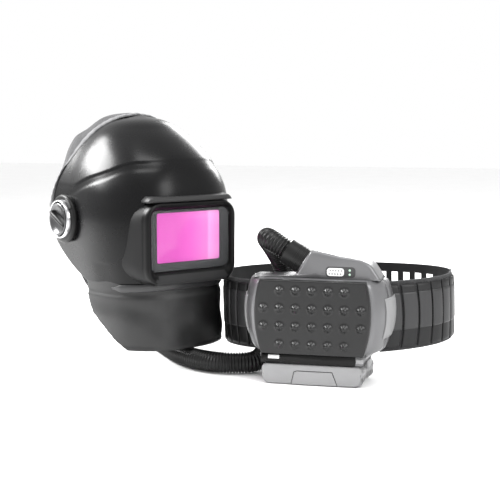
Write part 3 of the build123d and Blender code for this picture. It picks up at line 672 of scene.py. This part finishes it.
def visor_frame_piece():
    """The deep frame round the window: flared flanks, a rounded rim and a recess; the flanks and lower lip
    are painted lighter grey as sheen and highlight, the recess a painted darker shade.
    """
    z = -29
    rows = [
        window_loop(88, 58, 36, -113, z),
        window_loop(96, 64, 43, -112, z),
        window_loop(94.5, 63.6, 42, -117, z),
        window_loop(86.5, 62.4, 33, -142, z),
        window_loop(80.6, 61.2, 26, -158, z),
        window_loop(79.4, 60.8, 25, -160.5, z),
        window_loop(79.0, 60.6, 24.5, -163, z),
        window_loop(78.2, 60.2, 24, -166.4, z),
        window_loop(76.6, 59.6, 22.5, -168.8, z),
        window_loop(74.6, 58.6, 20, -169.8, z),
        window_loop(72.8, 57.2, 19, -170.2, z + 0.6),
        window_loop(71.2, 53.5, 17, -169.2, z + 1.8),
        window_loop(70.3, 48.8, 14, -166.4, z + 3.6),
        window_loop(69.7, 45.3, 11.6, -163.4, z + 4.5),
        window_loop(69.5, 45.0, 11.3, -157.6, z + 4.5),
        window_loop(70.0, 46.0, 11.5, -146.8, z + 4.5),
        window_loop(80.0, 54.0, 14, -146.0, z + 2),
        window_loop(84.0, 56.0, 16, -130.0, z),
        window_loop(90.0, 60.0, 22, -113.0, z),
    ]
    vertices, faces = grid_mesh(matched_rows(rows), around=True)
    frame_piece = add_piece("visor_frame_rim", vertices, faces, HELMET, "shield",
                            [VISOR_BLACK, SENSOR_BLACK_AND_RECESS_SHADE, FLANK_PAINTED_SHEEN, LIP_PAINTED_HIGHLIGHT])
    back = HELMET.inverted()
    for polygon in frame_piece.data.polygons:
        centre = back @ polygon.center / MM
        # Flank faces: painted lighter grey as sheen.
        if centre.y > -158.2 and max(abs(centre.x) - 74, abs(centre.z + 29) - 56) > 0:
            polygon.material_index = 2
        # Lower lip faces: painted lighter as the highlight where they face up.
        if centre.z < -76.5 and centre.y < -160 and abs(centre.x) < 62:
            polygon.material_index = 3
        # Recess faces: painted darker and duller as shade.
        if -170 < centre.y < -146 and max(abs(centre.x) - 70.6, abs(centre.z + 25) - 46.4) < 0:
            polygon.material_index = 1
    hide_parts("visor_frame")
    return frame_piece


def bezel_piece():
    """The thin bezel that holds the filter glass, with a chamfered opening."""
    rows = [
        window_loop(69, 44.5, 11, -158.1, -24.5),
        window_loop(69, 44.5, 11, -161.6, -24.5),
        window_loop(68.3, 43.8, 10.5, -162.3, -24.5),
        window_loop(58.2, 38.9, 4.5, -162.2, -21.4),
        window_loop(56.6, 37.4, 3.4, -161.2, -21.1),
        window_loop(55.5, 36.5, 3, -158.1, -21),
    ]
    vertices, faces = grid_mesh(matched_rows(rows), around=True)
    bezel = add_piece("lens_bezel_ring", vertices, faces, HELMET, "shield", BEZEL_GREY)
    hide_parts("lens_bezel")
    sharpen(bezel, 0.3, 2)
    return bezel


def brow_piece():
    """The bar over the window, with its ends rounded down, painted grey as the highlight on its up-facing
    bevel.
    """
    rows = []
    profile = [(-141, 32), (-166, 31.4), (-169.6, 32), (-170.8, 34), (-170.4, 37), (-168.4, 38.8),
               (-163, 39.8), (-141, 41.2)]
    for step in range(49):
        across = -1 + 2 * step / 48
        droop = step_up((abs(across) - 0.93) / 0.07)
        row = []
        for y, z in profile:
            drop = (z - 31.4) * 0.7 * droop
            row.append((73.5 * across, y + 2.2 * across ** 2 + 3 * droop, z - drop))
        rows.append(row)
    vertices, faces = grid_mesh(rows, around=True, caps=True)
    brow = add_piece("brow_bar_moulding", vertices, faces, HELMET, "shield", BROW_HIGHLIGHT_AND_WINDOW_GREY)
    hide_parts("brow_bar")
    return brow


def chin_band_piece():
    """The swelling band that runs from the cheeks round under the window, painted grey as the highlight on
    its fold.
    """
    rows = []
    count = 17
    for step in range(count):
        share = step / (count - 1)
        row = []
        for point in plan_line(SHELL_TABLE, -96 + 9 * share, -96):
            side = abs(point.x) / 104
            swell = 2.4 * math.sin(math.pi * share) ** 0.6
            lift = -8 * side ** 3
            taper = step_up((-98 - point.y) / 14)
            height = -92.5 + (share - 0.5) * 12.5 * (0.35 + 0.65 * taper) + lift
            row.append(Vector((point.x, point.y, height)) + outward(point) * (0.5 + swell * taper))
        rows.append(row)
    vertices, faces = grid_mesh(rows)
    band = add_piece("chin_band", vertices, faces, HELMET, "shield", CHIN_BAND_PAINTED_HIGHLIGHT)
    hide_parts("chin_trim")
    thicken(band, 1.6)
    return band


def chin_vents():
    """Two embossed bars on the shell's chin."""
    for name, centre in (("chin_emboss_low", -109.5), ("chin_emboss_high", -104)):
        rows = []
        for step in range(7):
            share = step / 6
            row = []
            for turn in range(25):
                x = -12 + 24 * turn / 24
                ends = 1 - (abs(x) / 12) ** 6
                front = smooth_value(SHELL_TABLE, centre, 2)
                height = centre + (share - 0.5) * 3 * max(0.2, ends)
                row.append((x, front + 0.004 * x * x + 0.3 - 1.1 * math.sin(math.pi * share) * ends, height))
            rows.append(row)
        vertices, faces = grid_mesh(rows)
        piece = add_piece(name, vertices, faces, HELMET, "shield", VISOR_BLACK)
        thicken(piece, 0.6)


def bib_piece():
    """The flexible chin curtain, with slack wrinkles at its sides and a stitched hem."""
    rows = []
    count = 48
    for step in range(count + 1):
        height = -188 + 102 * step / count
        rear = smooth_value(BIB_REAR, height)
        row = []
        for point in plan_line(BIB_TABLE, height, rear, count=120):
            low = step_up((-112 - height) / 30)
            ripple = noise.noise(Vector((point.x * 0.022, point.y * 0.02, height * 0.03 + 5)))
            sag = 2.6 * ripple * low
            fold = 1.5 * low * math.sin(point.x * 0.05 + height * 0.09)
            hem = 0.7 * step_up((-183 - height) / 1.5)
            stitch = -0.5 * math.exp(-((height + 182.6) / 0.8) ** 2)
            inner = -2.2 * step_up((height + 112) / 8)
            row.append(point + outward(point) * (sag + fold + hem + stitch + inner))
        rows.append(row)
    vertices, faces = grid_mesh(rows)
    bib = add_piece("chin_bib", vertices, faces, HELMET, "shield", CURTAIN_BLACK)
    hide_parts("chin_curtain")
    thicken(bib, 1.6)
    return bib


# ------------------------------------------------------------------ side pivots


def pivot_pieces():
    """Per side: a rounded black base with its small window, a bright ring, and a dished knob with a fin."""
    for side, name in ((-1, "right"), (1, "left")):
        base_profile = [(112, 34), (118, 36.6), (121, 37), (123, 36.2), (124.2, 34), (124.6, 31),
                        (124.6, 25.8), (123, 25.6), (118, 25.6), (112, 25.6)]
        vertices, faces = grid_mesh(lathe_x(base_profile, side), around=True)
        base = add_piece("pivot_base_" + name, vertices, faces, HELMET, "shield", PIVOT_BLACK)
        if side < 0:
            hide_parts("pivot_bases")
        ring_profile = [(124.4, 29.4), (129.0, 29.2), (130.6, 28.7), (131.0, 27.9), (130.8, 27.0),
                        (130.0, 26.3), (124.4, 25.7)]
        vertices, faces = grid_mesh(lathe_x(ring_profile, side), around=True)
        ring = add_piece("pivot_ring_" + name, vertices, faces, HELMET, "shield", RING_SILVER)
        if side < 0:
            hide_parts("knob_rings")
        knob_profile = [(124.6, 24.6), (131.2, 24.6), (132.2, 24.0), (132.0, 22.8), (129.4, 20.5),
                        (127.2, 14), (126.6, 7), (126.5, 0.3)]
        vertices, faces = grid_mesh(lathe_x(knob_profile, side), around=True, caps=True)
        knob = add_piece("knob_dish_" + name, vertices, faces, HELMET, "knob_" + name, KNOB_METAL)
        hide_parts("pivot_knob_" + name)
        rows = []
        for step in range(25):
            reach = -23 + 46 * step / 24
            half = 2.6 + 1.4 * (1 - (reach / 23) ** 2)
            crest = 133.6 + 1.6 * (1 - (reach / 23) ** 4)
            row = []
            for across, out in ((-1, 126.2), (-0.9, crest - 1.5), (-0.5, crest), (0.5, crest),
                                (0.9, crest - 1.5), (1, 126.2)):
                lean = math.radians(66 if side > 0 else -66)
                y = half * across * math.cos(lean) - reach * math.sin(lean)
                z = half * across * math.sin(lean) + reach * math.cos(lean)
                row.append((side * out, y * (-1 if side < 0 else 1) * side, z))
            rows.append(row)
        vertices, faces = grid_mesh(rows, around=True, caps=True)
        add_piece("knob_fin_" + name, vertices, faces, HELMET, "knob_" + name, PIVOT_BLACK)
        rows = []
        for radius, out in ((30.4, 124.5), (30.8, 125.2), (35.4, 124.9), (35.9, 123.6)):
            row = []
            for step in range(13):
                turn = math.radians(24 + 34 * step / 12)
                row.append((side * out, -radius * math.sin(turn), radius * math.cos(turn)))
            rows.append(row)
        vertices, faces = grid_mesh(rows)
        mark = add_piece("pivot_window_" + name, vertices, faces, HELMET, "shield", BROW_HIGHLIGHT_AND_WINDOW_GREY)
        thicken(mark, 0.5, 0)


# ------------------------------------------------------------------ headgear

HOOD_EDGE = [(0, -16.5, 155.4), (30, -13, 150.5), (55, -4, 138), (75, 4, 120), (92, 23, 88), (104, 33, 67),
             (113, 40, 40), (117.5, 44, 14)]
HOOD_RADIUS = 162
HOOD_HALF = 109
HOOD_POWER = 2.25
HOOD_END = math.radians(188)
HOOD_SLIM = 20


def hood_edge(share):
    """The line along the shell's rear edge that the hood is sewn to; share runs from -1 to 1."""
    place = abs(share) * (len(HOOD_EDGE) - 1)
    table = [(index, *point) for index, point in enumerate(HOOD_EDGE)]
    x, y, z = (smooth_value(table, place, column) for column in (1, 2, 3))
    return Vector((math.copysign(x, share), y, z))


def hood_radius(x, turn):
    """How far the hood stands from the pivots' axis: full over the crown, slimmer at the nape."""
    inner = max(0.0, 1 - min(1, abs(x) / HOOD_HALF) ** HOOD_POWER)
    reach = HOOD_RADIUS - HOOD_SLIM * step_up((turn - math.radians(98)) / math.radians(50))
    return reach * inner ** (1 / HOOD_POWER)


def hood_point(share, down):
    """A point of the hood: share runs across the head, down from the shell's edge to the nape."""
    edge = hood_edge(share)
    reach = math.hypot(edge.y, edge.z)
    turn = math.atan2(edge.z, -edge.y)
    end_turn = HOOD_END + 0.05 * (1 - abs(share))
    now = turn + (end_turn - turn) * down
    x = edge.x * (1 - 0.10 * down * down)
    puff = step_up(down / 0.22) ** 0.8
    radius = reach + 1.2 + (max(hood_radius(x, now), reach * 0.8) - reach - 1.2) * puff
    gather = step_up((down - 0.02) / 0.2)
    warp = noise.noise(Vector((share * 1.7, down * 1.3, 2.1)))
    ridge = math.sin(share * 15 + warp * 8 + down * 4.2)
    crown = step_up((math.radians(160) - now) / math.radians(40))
    sideways = 0.3 + 0.7 * step_up((0.35 - share) / 0.8)
    folds = 4.2 * (ridge * abs(ridge) ** 0.4) * gather * sideways * (0.35 + 0.65 * crown)
    soft = 4.0 * noise.noise(Vector((share * 3.1, down * 3.7, 7.7))) * gather
    fine = 1.1 * noise.noise(Vector((share * 11, down * 9, 1.3))) * gather
    elastic = 1.5 * math.sin(share * 70) * step_up((down - 0.86) / 0.12)
    tuck = -9 * step_up((down - 0.84) / 0.16)
    radius += folds + soft + fine + elastic + tuck
    return Vector((x, -radius * math.cos(now), radius * math.sin(now)))


def hood_pieces():
    """The fabric hood behind the shell, and the folded hem that joins it to the shell's edge."""
    across, along = 150, 70
    rows = []
    for step in range(along + 1):
        rows.append([hood_point(-1 + 2 * j / across, step / along) for j in range(across + 1)])
    vertices, faces = grid_mesh(rows)
    hood = add_piece("hood_fabric", vertices, faces, HELMET, None, COVER_GREY)
    thicken(hood, 1.0, 0)
    bake_modifiers(hood)
    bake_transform(hood)
    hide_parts("head_cover")
    rows = []
    for width, lift in ((0.0, 0.2), (0.6, 1.6), (3.2, 2.3), (6.2, 2.5), (9.0, 2.2), (10.6, 1.2),
                        (11.0, -0.6)):
        row = []
        for j in range(across + 1):
            share = -1 + 2 * j / across
            edge = hood_edge(share)
            ahead = hood_point(share, 0.09)
            way = (ahead - edge).normalized()
            away = Vector((edge.x * 0.5, edge.y, edge.z)).normalized()
            pucker = 0.35 * math.sin(share * 120)
            row.append(edge + way * (width - 4.5) + away * (lift + 0.9 + pucker * min(1, lift)))
        rows.append(row)
    vertices, faces = grid_mesh(rows)
    hem = add_piece("hood_hem", vertices, faces, HELMET, "shield", HEM_GREY)
    thicken(hem, 0.8, 0)
    return hood, hem


def pad_piece(name, node, start, end):
    """A crowned foam pad inside the headband, with sewn channels across it."""
    rows = []
    count = 60
    for step in range(count + 1):
        share = step / count
        turn = math.radians(start + (end - start) * share)
        ends = (1 - abs(2 * share - 1) ** 5) ** 0.5
        channel = 1 - 0.35 * math.exp(-((share * 6 % 1 - 0.5) / 0.09) ** 2)
        centre = Vector((75.5 * math.cos(turn), 8 + 91.5 * math.sin(turn), 24))
        way = Vector((math.cos(turn), math.sin(turn), 0))
        row = []
        for corner in range(20):
            angle = 2 * math.pi * corner / 20
            out = math.copysign(abs(math.cos(angle)) ** 0.75, math.cos(angle))
            up = math.copysign(abs(math.sin(angle)) ** 0.55, math.sin(angle))
            thick = 3.4 * ends * (channel if out < 0 else 1)
            row.append(centre + way * (out * max(thick, 0.4)) + Vector((0, 0, up * (4 + 8 * ends))))
        rows.append(row)
    vertices, faces = grid_mesh(rows, around=True, caps=True)
    pad = add_piece(name, vertices, faces, HELMET, "harness", PAD)
    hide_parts(node)
    return pad


# ------------------------------------------------------------------ blower unit

BARREL = {"body": (97, 107, 94), "cover": (75.5, 82.5, 73)}


def barrel_half(name, rise):
    """Half the width of a bulging outline; rise runs from 0 at the bottom to 1 at the top."""
    top, middle, bottom = BARREL[name]
    straight = bottom + (top - bottom) * rise
    bulge = middle - (top + bottom) / 2
    return straight + bulge * (1 - (2 * rise - 1) ** 2)


def barrel_loop(name, low, high, shrink, y, corner=7):
    """The closed outline, with round corners, pulled in by shrink."""
    points = []
    steps = 26
    for side in (1, -1):
        for step in range(steps + 1):
            rise = step / steps if side > 0 else 1 - step / steps
            near = min(rise, 1 - rise) * (high - low)
            inside = max(0.0, corner ** 2 - max(0.0, corner - near) ** 2)
            pull = corner - math.sqrt(inside) if near < corner else 0
            x = barrel_half(name, rise) - shrink - pull
            points.append(Vector((side * x, y, low + shrink + (high - low - 2 * shrink) * rise)))
    return points


def flank_reach(y):
    """How far the body's flanks have swept out at one depth, against the full width."""
    return smooth_value([(-38, -19), (-24, -11), (-8, -4), (10, 0), (34, 0)], y)


def unit_loop(y, shrink):
    """One outline of the blower's body at a depth."""
    loop = barrel_loop("body", 43, 150, shrink, y)
    pull = flank_reach(y)
    return [Vector((point.x + (pull if point.x > 0 else -pull), point.y, point.z)) for point in loop]


def unit_pieces():
    """The two housings as one soft-edged body with a seam, and the shoe over the battery."""
    front_depths = [(-36, 16), (-37.8, 12), (-38, 9), (-38, 5), (-37, 2.4), (-34.5, 0.8), (-31, 0.1),
                    (-24, 0), (-16, 0), (-8, 0), (-1.4, 0), (-0.6, 0.7), (-0.5, 4)]
    rear_depths = [(0.5, 4), (0.6, 0.7), (1.4, 0), (10, 0), (20, 0), (28, 0.2), (31.6, 1.4), (33.4, 3.4),
                   (34, 6), (34, 60)]
    specs = (("unit_front_shell", "front_housing", front_depths),
             ("unit_rear_shell", "rear_housing", rear_depths))
    for name, node, depths in specs:
        rows = [unit_loop(y, min(shrink, 46)) for y, shrink in depths]
        vertices, faces = grid_mesh(matched_rows(rows, 160), around=True, caps=node == "rear_housing")
        if node == "rear_housing":
            faces = faces[:-2] + faces[-1:]
        shell = add_piece(name, vertices, faces, UNIT, "harness", BODY_SILVER)
        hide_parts(node)
    rows = []
    for depth, shrink in ((-37.6, 3), (-37.5, 1.4), (-37, 0.5), (-35.6, 0), (0, 0), (12, 0), (22, 0),
                          (31, 0), (32, 1)):
        row = []
        for x, z in subdivided_loop(rounded_loop(73.5 - shrink, 7.6 - shrink, 3), 4):
            spread = 1 + (0.03 + 0.10 * step_up((depth + 30) / 50)) * step_up((z + 4) / 10)
            row.append(Vector((x * spread, depth, 36.6 + z)))
        rows.append(row)
    vertices, faces = grid_mesh(rows, around=True, caps=True)
    add_piece("battery_shoe", vertices, faces, UNIT, "harness", BODY_SILVER)


def battery_flare(y):
    """How much the battery and its shoe widen towards the belt."""
    return 1 + 0.07 * step_up((y - 7) / 22)


def bump_rise(x, z):
    """The height of the grip bumps over the filter cover at one point."""
    best = 0.0
    for rise, count in ((39.4, 5), (13.9, 7), (-11.7, 7), (-37.3, 5)):
        for step in range(count):
            off = math.hypot(x - (step - (count - 1) / 2) * 23, z - 95 - rise)
            best = max(best, 5.2 * (1 - step_up(off / 8.2)))
    return best


def filter_cover_piece():
    """The black front cover: a softly crowned face with rows of bumps and a rounded rim."""
    rows = []
    across, up = 190, 120
    for i in range(up + 1):
        rise = i / up
        z = 43.8 + 105.6 * rise
        half = barrel_half("cover", rise)
        row = []
        for j in range(across + 1):
            x = half * (2 * j / across - 1)
            near = min(half - abs(x), (z - 43.8) * 1.6, (149.4 - z) * 1.6)
            rim = 2.4 * (1 - math.sqrt(max(0.0, 1 - max(0.0, 1 - near / 3.2) ** 2)))
            crown = -1.2 * (1 - (x / 83) ** 2)
            row.append((x, -45.2 + crown + rim - bump_rise(x, z), z))
        rows.append(row)
    vertices, faces = grid_mesh(rows)
    edge = list(range(across + 1))
    edge += [i * (across + 1) + across for i in range(1, up + 1)]
    edge += [up * (across + 1) + j for j in range(across - 1, -1, -1)]
    edge += [i * (across + 1) for i in range(up - 1, 0, -1)]
    first = len(vertices)
    for index in edge:
        vertices.append((vertices[index][0], -38.2, vertices[index][2]))
    for step in range(len(edge)):
        after = (step + 1) % len(edge)
        faces.append((edge[step], edge[after], first + after, first + step))
    cover = add_piece("filter_cover_face", vertices, faces, UNIT, "filter_drawer", FILTER_BLACK)
    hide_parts("filter_cover")
    return cover


def slab_piece(name, outline, depths, place, body, material):
    """A plate with a front outline of (x, z) points; depths are (y, pull in) pairs."""
    centre_x = sum(x for x, z in outline) / len(outline)
    centre_z = sum(z for x, z in outline) / len(outline)
    rows = []
    for y, pull in depths:
        row = []
        for x, z in outline:
            way = Vector((x - centre_x, z - centre_z))
            shrink = max(0.0, 1 - pull / max(way.length, 1e-6))
            row.append(Vector((centre_x + way.x * shrink, y, centre_z + way.y * shrink)))
        rows.append(row)
    vertices, faces = grid_mesh(rows, around=True, caps=True)
    return add_piece(name, vertices, faces, place, body, material)


def battery_pieces():
    """The pale battery with round lower corners, its finger recess and the sprung latch."""
    rows = []
    for y, pull in ((-41, 9), (-40.8, 5), (-40.2, 2.4), (-39, 0.8), (-37, 0), (-20, 0), (4, 0), (12, 0),
                    (20, 0), (30, 0), (32, 2)):
        row = []
        for x, z in subdivided_loop(rounded_loop(73.5 - pull * 0.6, 14.3 - pull * 0.3, 9), 7):
            row.append(Vector((x * (1 - 0.012 * (1 - z / 14)) * battery_flare(y), y, 14.35 + z)))
        rows.append(row)
    vertices, faces = grid_mesh(rows, around=True, caps=True)
    case = add_piece("battery_shell", vertices, faces, UNIT, "battery", BATTERY_GREY)
    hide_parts("battery_case")
    recess = [(-29, 0.8), (36, 0.8), (32, 11), (28.5, 19.5), (-21, 19.5), (-25, 18), (-27.5, 8)]
    slab_piece("finger_pad", subdivided_loop(recess, 4), ((-39, 0), (-41.6, 0), (-42.2, 0.7), (-42.3, 2.2)),
               UNIT, "battery", BATTERY_GREY)
    line = [(-29.8, 0.8), (36.8, 0.8), (32.9, 11), (29.2, 20.3), (-21.2, 20.3), (-25.8, 18.6), (-28.3, 8)]
    slab_piece("finger_groove", subdivided_loop(line, 4), ((-39, 0), (-41.35, 0)), UNIT, "battery",
               BEZEL_GREY)
    latch = [(73.8, 24), (77.5, 24), (78.5, 26), (78.5, 34), (77.5, 36), (73.8, 36)]
    slab_piece("release_latch", latch, ((-20, 0.8), (-19, 0), (5, 0), (6, 0.8)), UNIT, "battery_latch",
               BATTERY_GREY)
    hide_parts("battery_latch")
    strip = subdivided_loop(rounded_loop(67.4, 6.8, 1.5, 3), 6)
    strip = [(x - 6.1, z + 36.4) for x, z in strip]
    slab_piece("dark_strip", strip, ((-37, 0), (-39.4, 0), (-39.9, 0.6)), UNIT, "harness", STRIP_BLACK)
    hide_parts("name_strip")
    label = [(x - 55, z + 38.6) for x, z in rounded_loop(8, 2.6, 0.6, 2)]
    slab_piece("blank_label", label, ((-39.5, 0), (-40.2, 0)), UNIT, "harness", WHITE)
    corner = [(x + 67.6, z + 37.2) for x, z in rounded_loop(5.2, 3.4, 1, 3)]
    slab_piece("shoe_corner_plate", corner, ((-37, 0), (-39.6, 0), (-40, 0.5)), UNIT, "harness", BATTERY_GREY)


def turret_piece():
    """The rising top of the blower with soft edges."""
    outline = [(-92, 149), (-60, 149.8), (-30, 151.5), (-24, 158), (-7, 187), (-4, 188.8), (3, 188.6),
               (18, 185.4), (36, 181.8), (54, 179.6), (66, 177.4), (76, 172.6), (82, 167), (94, 149)]
    outline = subdivided_loop(outline, 4)
    depths = ((-24.3, 22), (-24.2, 9), (-24, 5), (-23.2, 2.2), (-21.6, 0.6), (-18, 0), (0, 0), (24, 0),
              (27, 1), (28, 4))
    turret = slab_piece("turret_hood", outline, depths, UNIT, "harness", BODY_SILVER)
    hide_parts("turret_cover")
    collar = []
    port, way = Vector((-18.9, 2, 169.6)), Vector((-0.8517, 0, 0.5240))
    other = Vector((0, 1, 0)).cross(way)
    for out, radius in ((-6, 22.4), (-1.5, 22.2), (0.1, 21.2), (0.3, 19.9), (-6, 19.7)):
        row = []
        for step in range(48):
            turn = 2 * math.pi * step / 48
            around = Vector((0, 1, 0)) * math.cos(turn) + other * math.sin(turn)
            row.append(port + way * out + around * radius)
        collar.append(row)
    vertices, faces = grid_mesh(collar, around=True)
    add_piece("port_collar", vertices, faces, UNIT, "harness", BODY_SILVER)


def button_dots():
    """The raised dots of the power pad."""
    dots = []
    for row in range(2):
        for column in range(5):
            dots.append((21.4 + 4 * column + 1.2 * row, 157.6 + 4.6 * row))
    rows_all, faces_all = [], []
    for x, z in dots:
        first = len(rows_all)
        for radius, y in ((0.95, -26.0), (0.8, -26.35), (0.4, -26.5)):
            for step in range(12):
                turn = 2 * math.pi * step / 12
                rows_all.append((x + radius * math.cos(turn), y, z + radius * math.sin(turn)))
        for ring in range(2):
            for step in range(12):
                after = (step + 1) % 12
                start = first + ring * 12
                faces_all.append((start + step, start + after, start + 12 + after, start + 12 + step))
        faces_all.append(tuple(first + 24 + step for step in range(12)))
    add_piece("power_pad_dots", rows_all, faces_all, UNIT, "power_button", PANEL_GREY)


def belt_tab_highlights():
    """The tabs on the body's flanks that the belt clips under, painted pale as the highlight on facets that
    face the light.
    """
    for side, name in ((1, "left"), (-1, "right")):
        rows = []
        for y, lift in ((-15, 0.2), (-14, 1.2), (0, 1.4), (12, 1.6), (24, 1.8), (33, 2.0), (35, 0.8)):
            row = []
            for step in range(13):
                rise = step / 12
                z = 66 + 57 * rise
                x = barrel_half("body", (z - 43) / 107) + flank_reach(y) + lift - 0.8 * abs(2 * rise - 1) ** 6
                row.append((side * x, y, z))
            rows.append(row)
        vertices, faces = grid_mesh(rows)
        tab = add_piece("belt_tab_highlight_" + name, vertices, faces, UNIT, "harness", TAB_PAINTED_HIGHLIGHT)
        thicken(tab, 1.2, 0)


# ------------------------------------------------------------------ belt

BELT_TURN = Matrix.Rotation(math.radians(-1.6), 4, "Y")
BELT_MIDDLE = Vector((12, 117, 0))


def belt_point(turn, z, out):
    """A point of the belt: turn is the angle about its centre, out the distance outside its wall."""
    way = Vector((99 * math.cos(turn), 174 * math.sin(turn), 0)).normalized()
    point = BELT_MIDDLE + Vector((174 * math.cos(turn), 99 * math.sin(turn), z)) + way * out
    return BELT_TURN @ point


def wing_height(side, share, rise):
    """A height on a wing, which rises a little towards its outer end."""
    low = 35 + (9 if side > 0 else -3) * share
    high = 138 + (4 if side > 0 else -1) * share
    return low + (high - low) * rise


def slat(name, side, shares, turns, rises, out, thick, bow, material):
    """One rib of a wing: a plate with bowed edges and a rounded face."""
    rows = []
    for step in range(23):
        rise = step / 22
        height = rises[0] + (rises[1] - rises[0]) * rise
        middle = (2 * height - 1) ** 2
        bend = bow * (1 - middle)
        end = 1 - 0.5 * step_up((abs(2 * rise - 1) - 0.93) / 0.07)
        row = []
        for share, lift in ((0, -thick), (0, 0.5), (0.1, 0.9), (0.5, 1), (0.9, 0.9), (1, 0.5), (1, -thick)):
            turn = turns[0] + (turns[1] - turns[0]) * share + bend
            z = wing_height(side, shares[0] + (shares[1] - shares[0]) * share, height)
            row.append(belt_point(turn, z, out + (lift * end if lift > 0 else lift)))
        rows.append(row)
    vertices, faces = grid_mesh(rows, around=True, caps=True)
    return add_piece(name, vertices, faces, UNIT, "harness", material)


def wing_pieces():
    """Per side: a padded wing, its ribs with a raised middle painted paler as a highlight, and a textured
    rim.
    """
    for side, name in ((1, "left"), (-1, "right")):
        first = math.radians(-64 if side > 0 else 180 + 56)
        last = math.radians(6 if side > 0 else 180 - 6)
        rows = []
        for step in range(61):
            turn = first + (last - first) * step / 60
            row = []
            for z, out in ((34, -2.4), (35, -0.4), (38, 0.2), (87, 0.2), (136, 0.2), (139, -0.4),
                           (140.4, -2.4), (139, -4.4), (136, -5), (87, -5), (38, -5), (35, -4.4)):
                height = wing_height(side, step / 60, (z - 34) / 106.4)
                ripple = 0.25 * noise.noise(Vector((step * 0.9, z * 0.4, side)))
                row.append(belt_point(turn, height, out + ripple))
            rows.append(row)
        vertices, faces = grid_mesh(rows, around=True, caps=True)
        wing = add_piece("belt_pad_" + name, vertices, faces, UNIT, "harness", BELT_RIM)
        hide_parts("belt_wing_" + name)
        count = 7
        for step in range(count):
            shares = ((step + 0.08) / count, (step + 0.94) / count)
            low = first + (last - first) * shares[0]
            high = first + (last - first) * shares[1]
            bow = side * 0.045 * (1 - 0.6 * step / count)
            mark = name + "_" + str(step)
            slat("belt_rib_" + mark, side, shares, (low, high), (0.045, 0.945), 2.0, 2.4, bow, BELT_DARK)
            # The raised middle facets, painted paler as the highlight where they face the light.
            slat("belt_rise_highlight_" + mark, side, shares, (low, high), (0.30, 0.83), 2.9, 1.5, bow, BELT_PAINTED_HIGHLIGHT)


# ------------------------------------------------------------------ camera, floor and light

CAMERA_AZIMUTH = math.radians(13.57)
CAMERA_ELEVATION = math.radians(6.99)
CAMERA_DISTANCE = 1.6367
CAMERA_ASIDE = -0.0963
CAMERA_HEIGHT = 0.1874
CAMERA_LENS = 82.8


def set_camera():
    """The camera: its bearing, height, distance and lens."""
    right = Vector((math.cos(CAMERA_AZIMUTH), math.sin(CAMERA_AZIMUTH), 0))
    level = Vector((-math.sin(CAMERA_AZIMUTH), math.cos(CAMERA_AZIMUTH), 0))
    forward = level * math.cos(CAMERA_ELEVATION) - Vector((0, 0, math.sin(CAMERA_ELEVATION)))
    target = UNIT @ (right * CAMERA_ASIDE + Vector((0, 0, CAMERA_HEIGHT)))
    data = bpy.data.cameras.new("camera")
    data.lens = CAMERA_LENS
    data.sensor_width = 36
    camera = bpy.data.objects.new("camera", data)
    camera.location = target - forward * CAMERA_DISTANCE
    camera.rotation_mode = "QUATERNION"
    camera.rotation_quaternion = forward.to_track_quat("-Z", "Y")
    bpy.context.scene.collection.objects.link(camera)
    bpy.context.scene.camera = camera


def add_softbox(name, place, target, size, power):
    """A soft rectangular light aimed at a point."""
    data = bpy.data.lights.new(name, "AREA")
    data.shape = "RECTANGLE"
    data.size, data.size_y = size
    data.energy = power
    light = bpy.data.objects.new(name, data)
    light.location = place
    light.rotation_mode = "QUATERNION"
    light.rotation_quaternion = (Vector(target) - Vector(place)).to_track_quat("-Z", "Y")
    bpy.context.scene.collection.objects.link(light)


def set_stage():
    """A pale floor, a pale surround and soft studio lights."""
    mesh = bpy.data.meshes.new("floor")
    corners = [(x * FLOOR_HALF, y * FLOOR_HALF, -FLOOR_DROP) for x, y in ((-1, -1), (1, -1), (1, 1), (-1, 1))]
    mesh.from_pydata(corners, [], [(0, 1, 2, 3)])
    mesh.materials.append(FLOOR)
    floor = bpy.data.objects.new("floor", mesh)
    bpy.context.scene.collection.objects.link(floor)
    world = bpy.data.worlds.new("surround")
    world.use_nodes = True
    background = world.node_tree.nodes["Background"]
    background.inputs["Color"].default_value = (1, 1, 1, 1)
    background.inputs["Strength"].default_value = WORLD_LIGHT
    bpy.context.scene.world = world
    bpy.context.scene.view_settings.view_transform = "Standard"
    add_softbox("left_box", (-1.45, 0.0, 1.15), (-0.25, 0, 0.28), (0.8, 0.7), 75)
    add_softbox("right_box", (1.3, -0.9, 1.0), (0.05, 0, 0.2), (0.5, 0.9), 14)
    add_softbox("back_box", (0.15, 1.7, 0.95), (-0.1, 0, 0.25), (1.0, 0.7), 26)
    add_softbox("top_box", (0.0, -0.5, 1.9), (0, 0, 0.1), (1.0, 0.6), 16)


paint_cad_nodes()
shell_piece()
visor_frame_piece()
bezel_piece()
brow_piece()
chin_band_piece()
chin_vents()
bib = bib_piece()
pivot_pieces()
hood, hem = hood_pieces()
pad_piece("brow_cushion", "brow_pad", -143, -37)
pad_piece("nape_cushion", "rear_pad", 62, 118)
unit_pieces()
filter_cover_piece()
battery_pieces()
turret_piece()
button_dots()
belt_tab_highlights()
wing_pieces()
tube_piece()
set_camera()
set_stage()
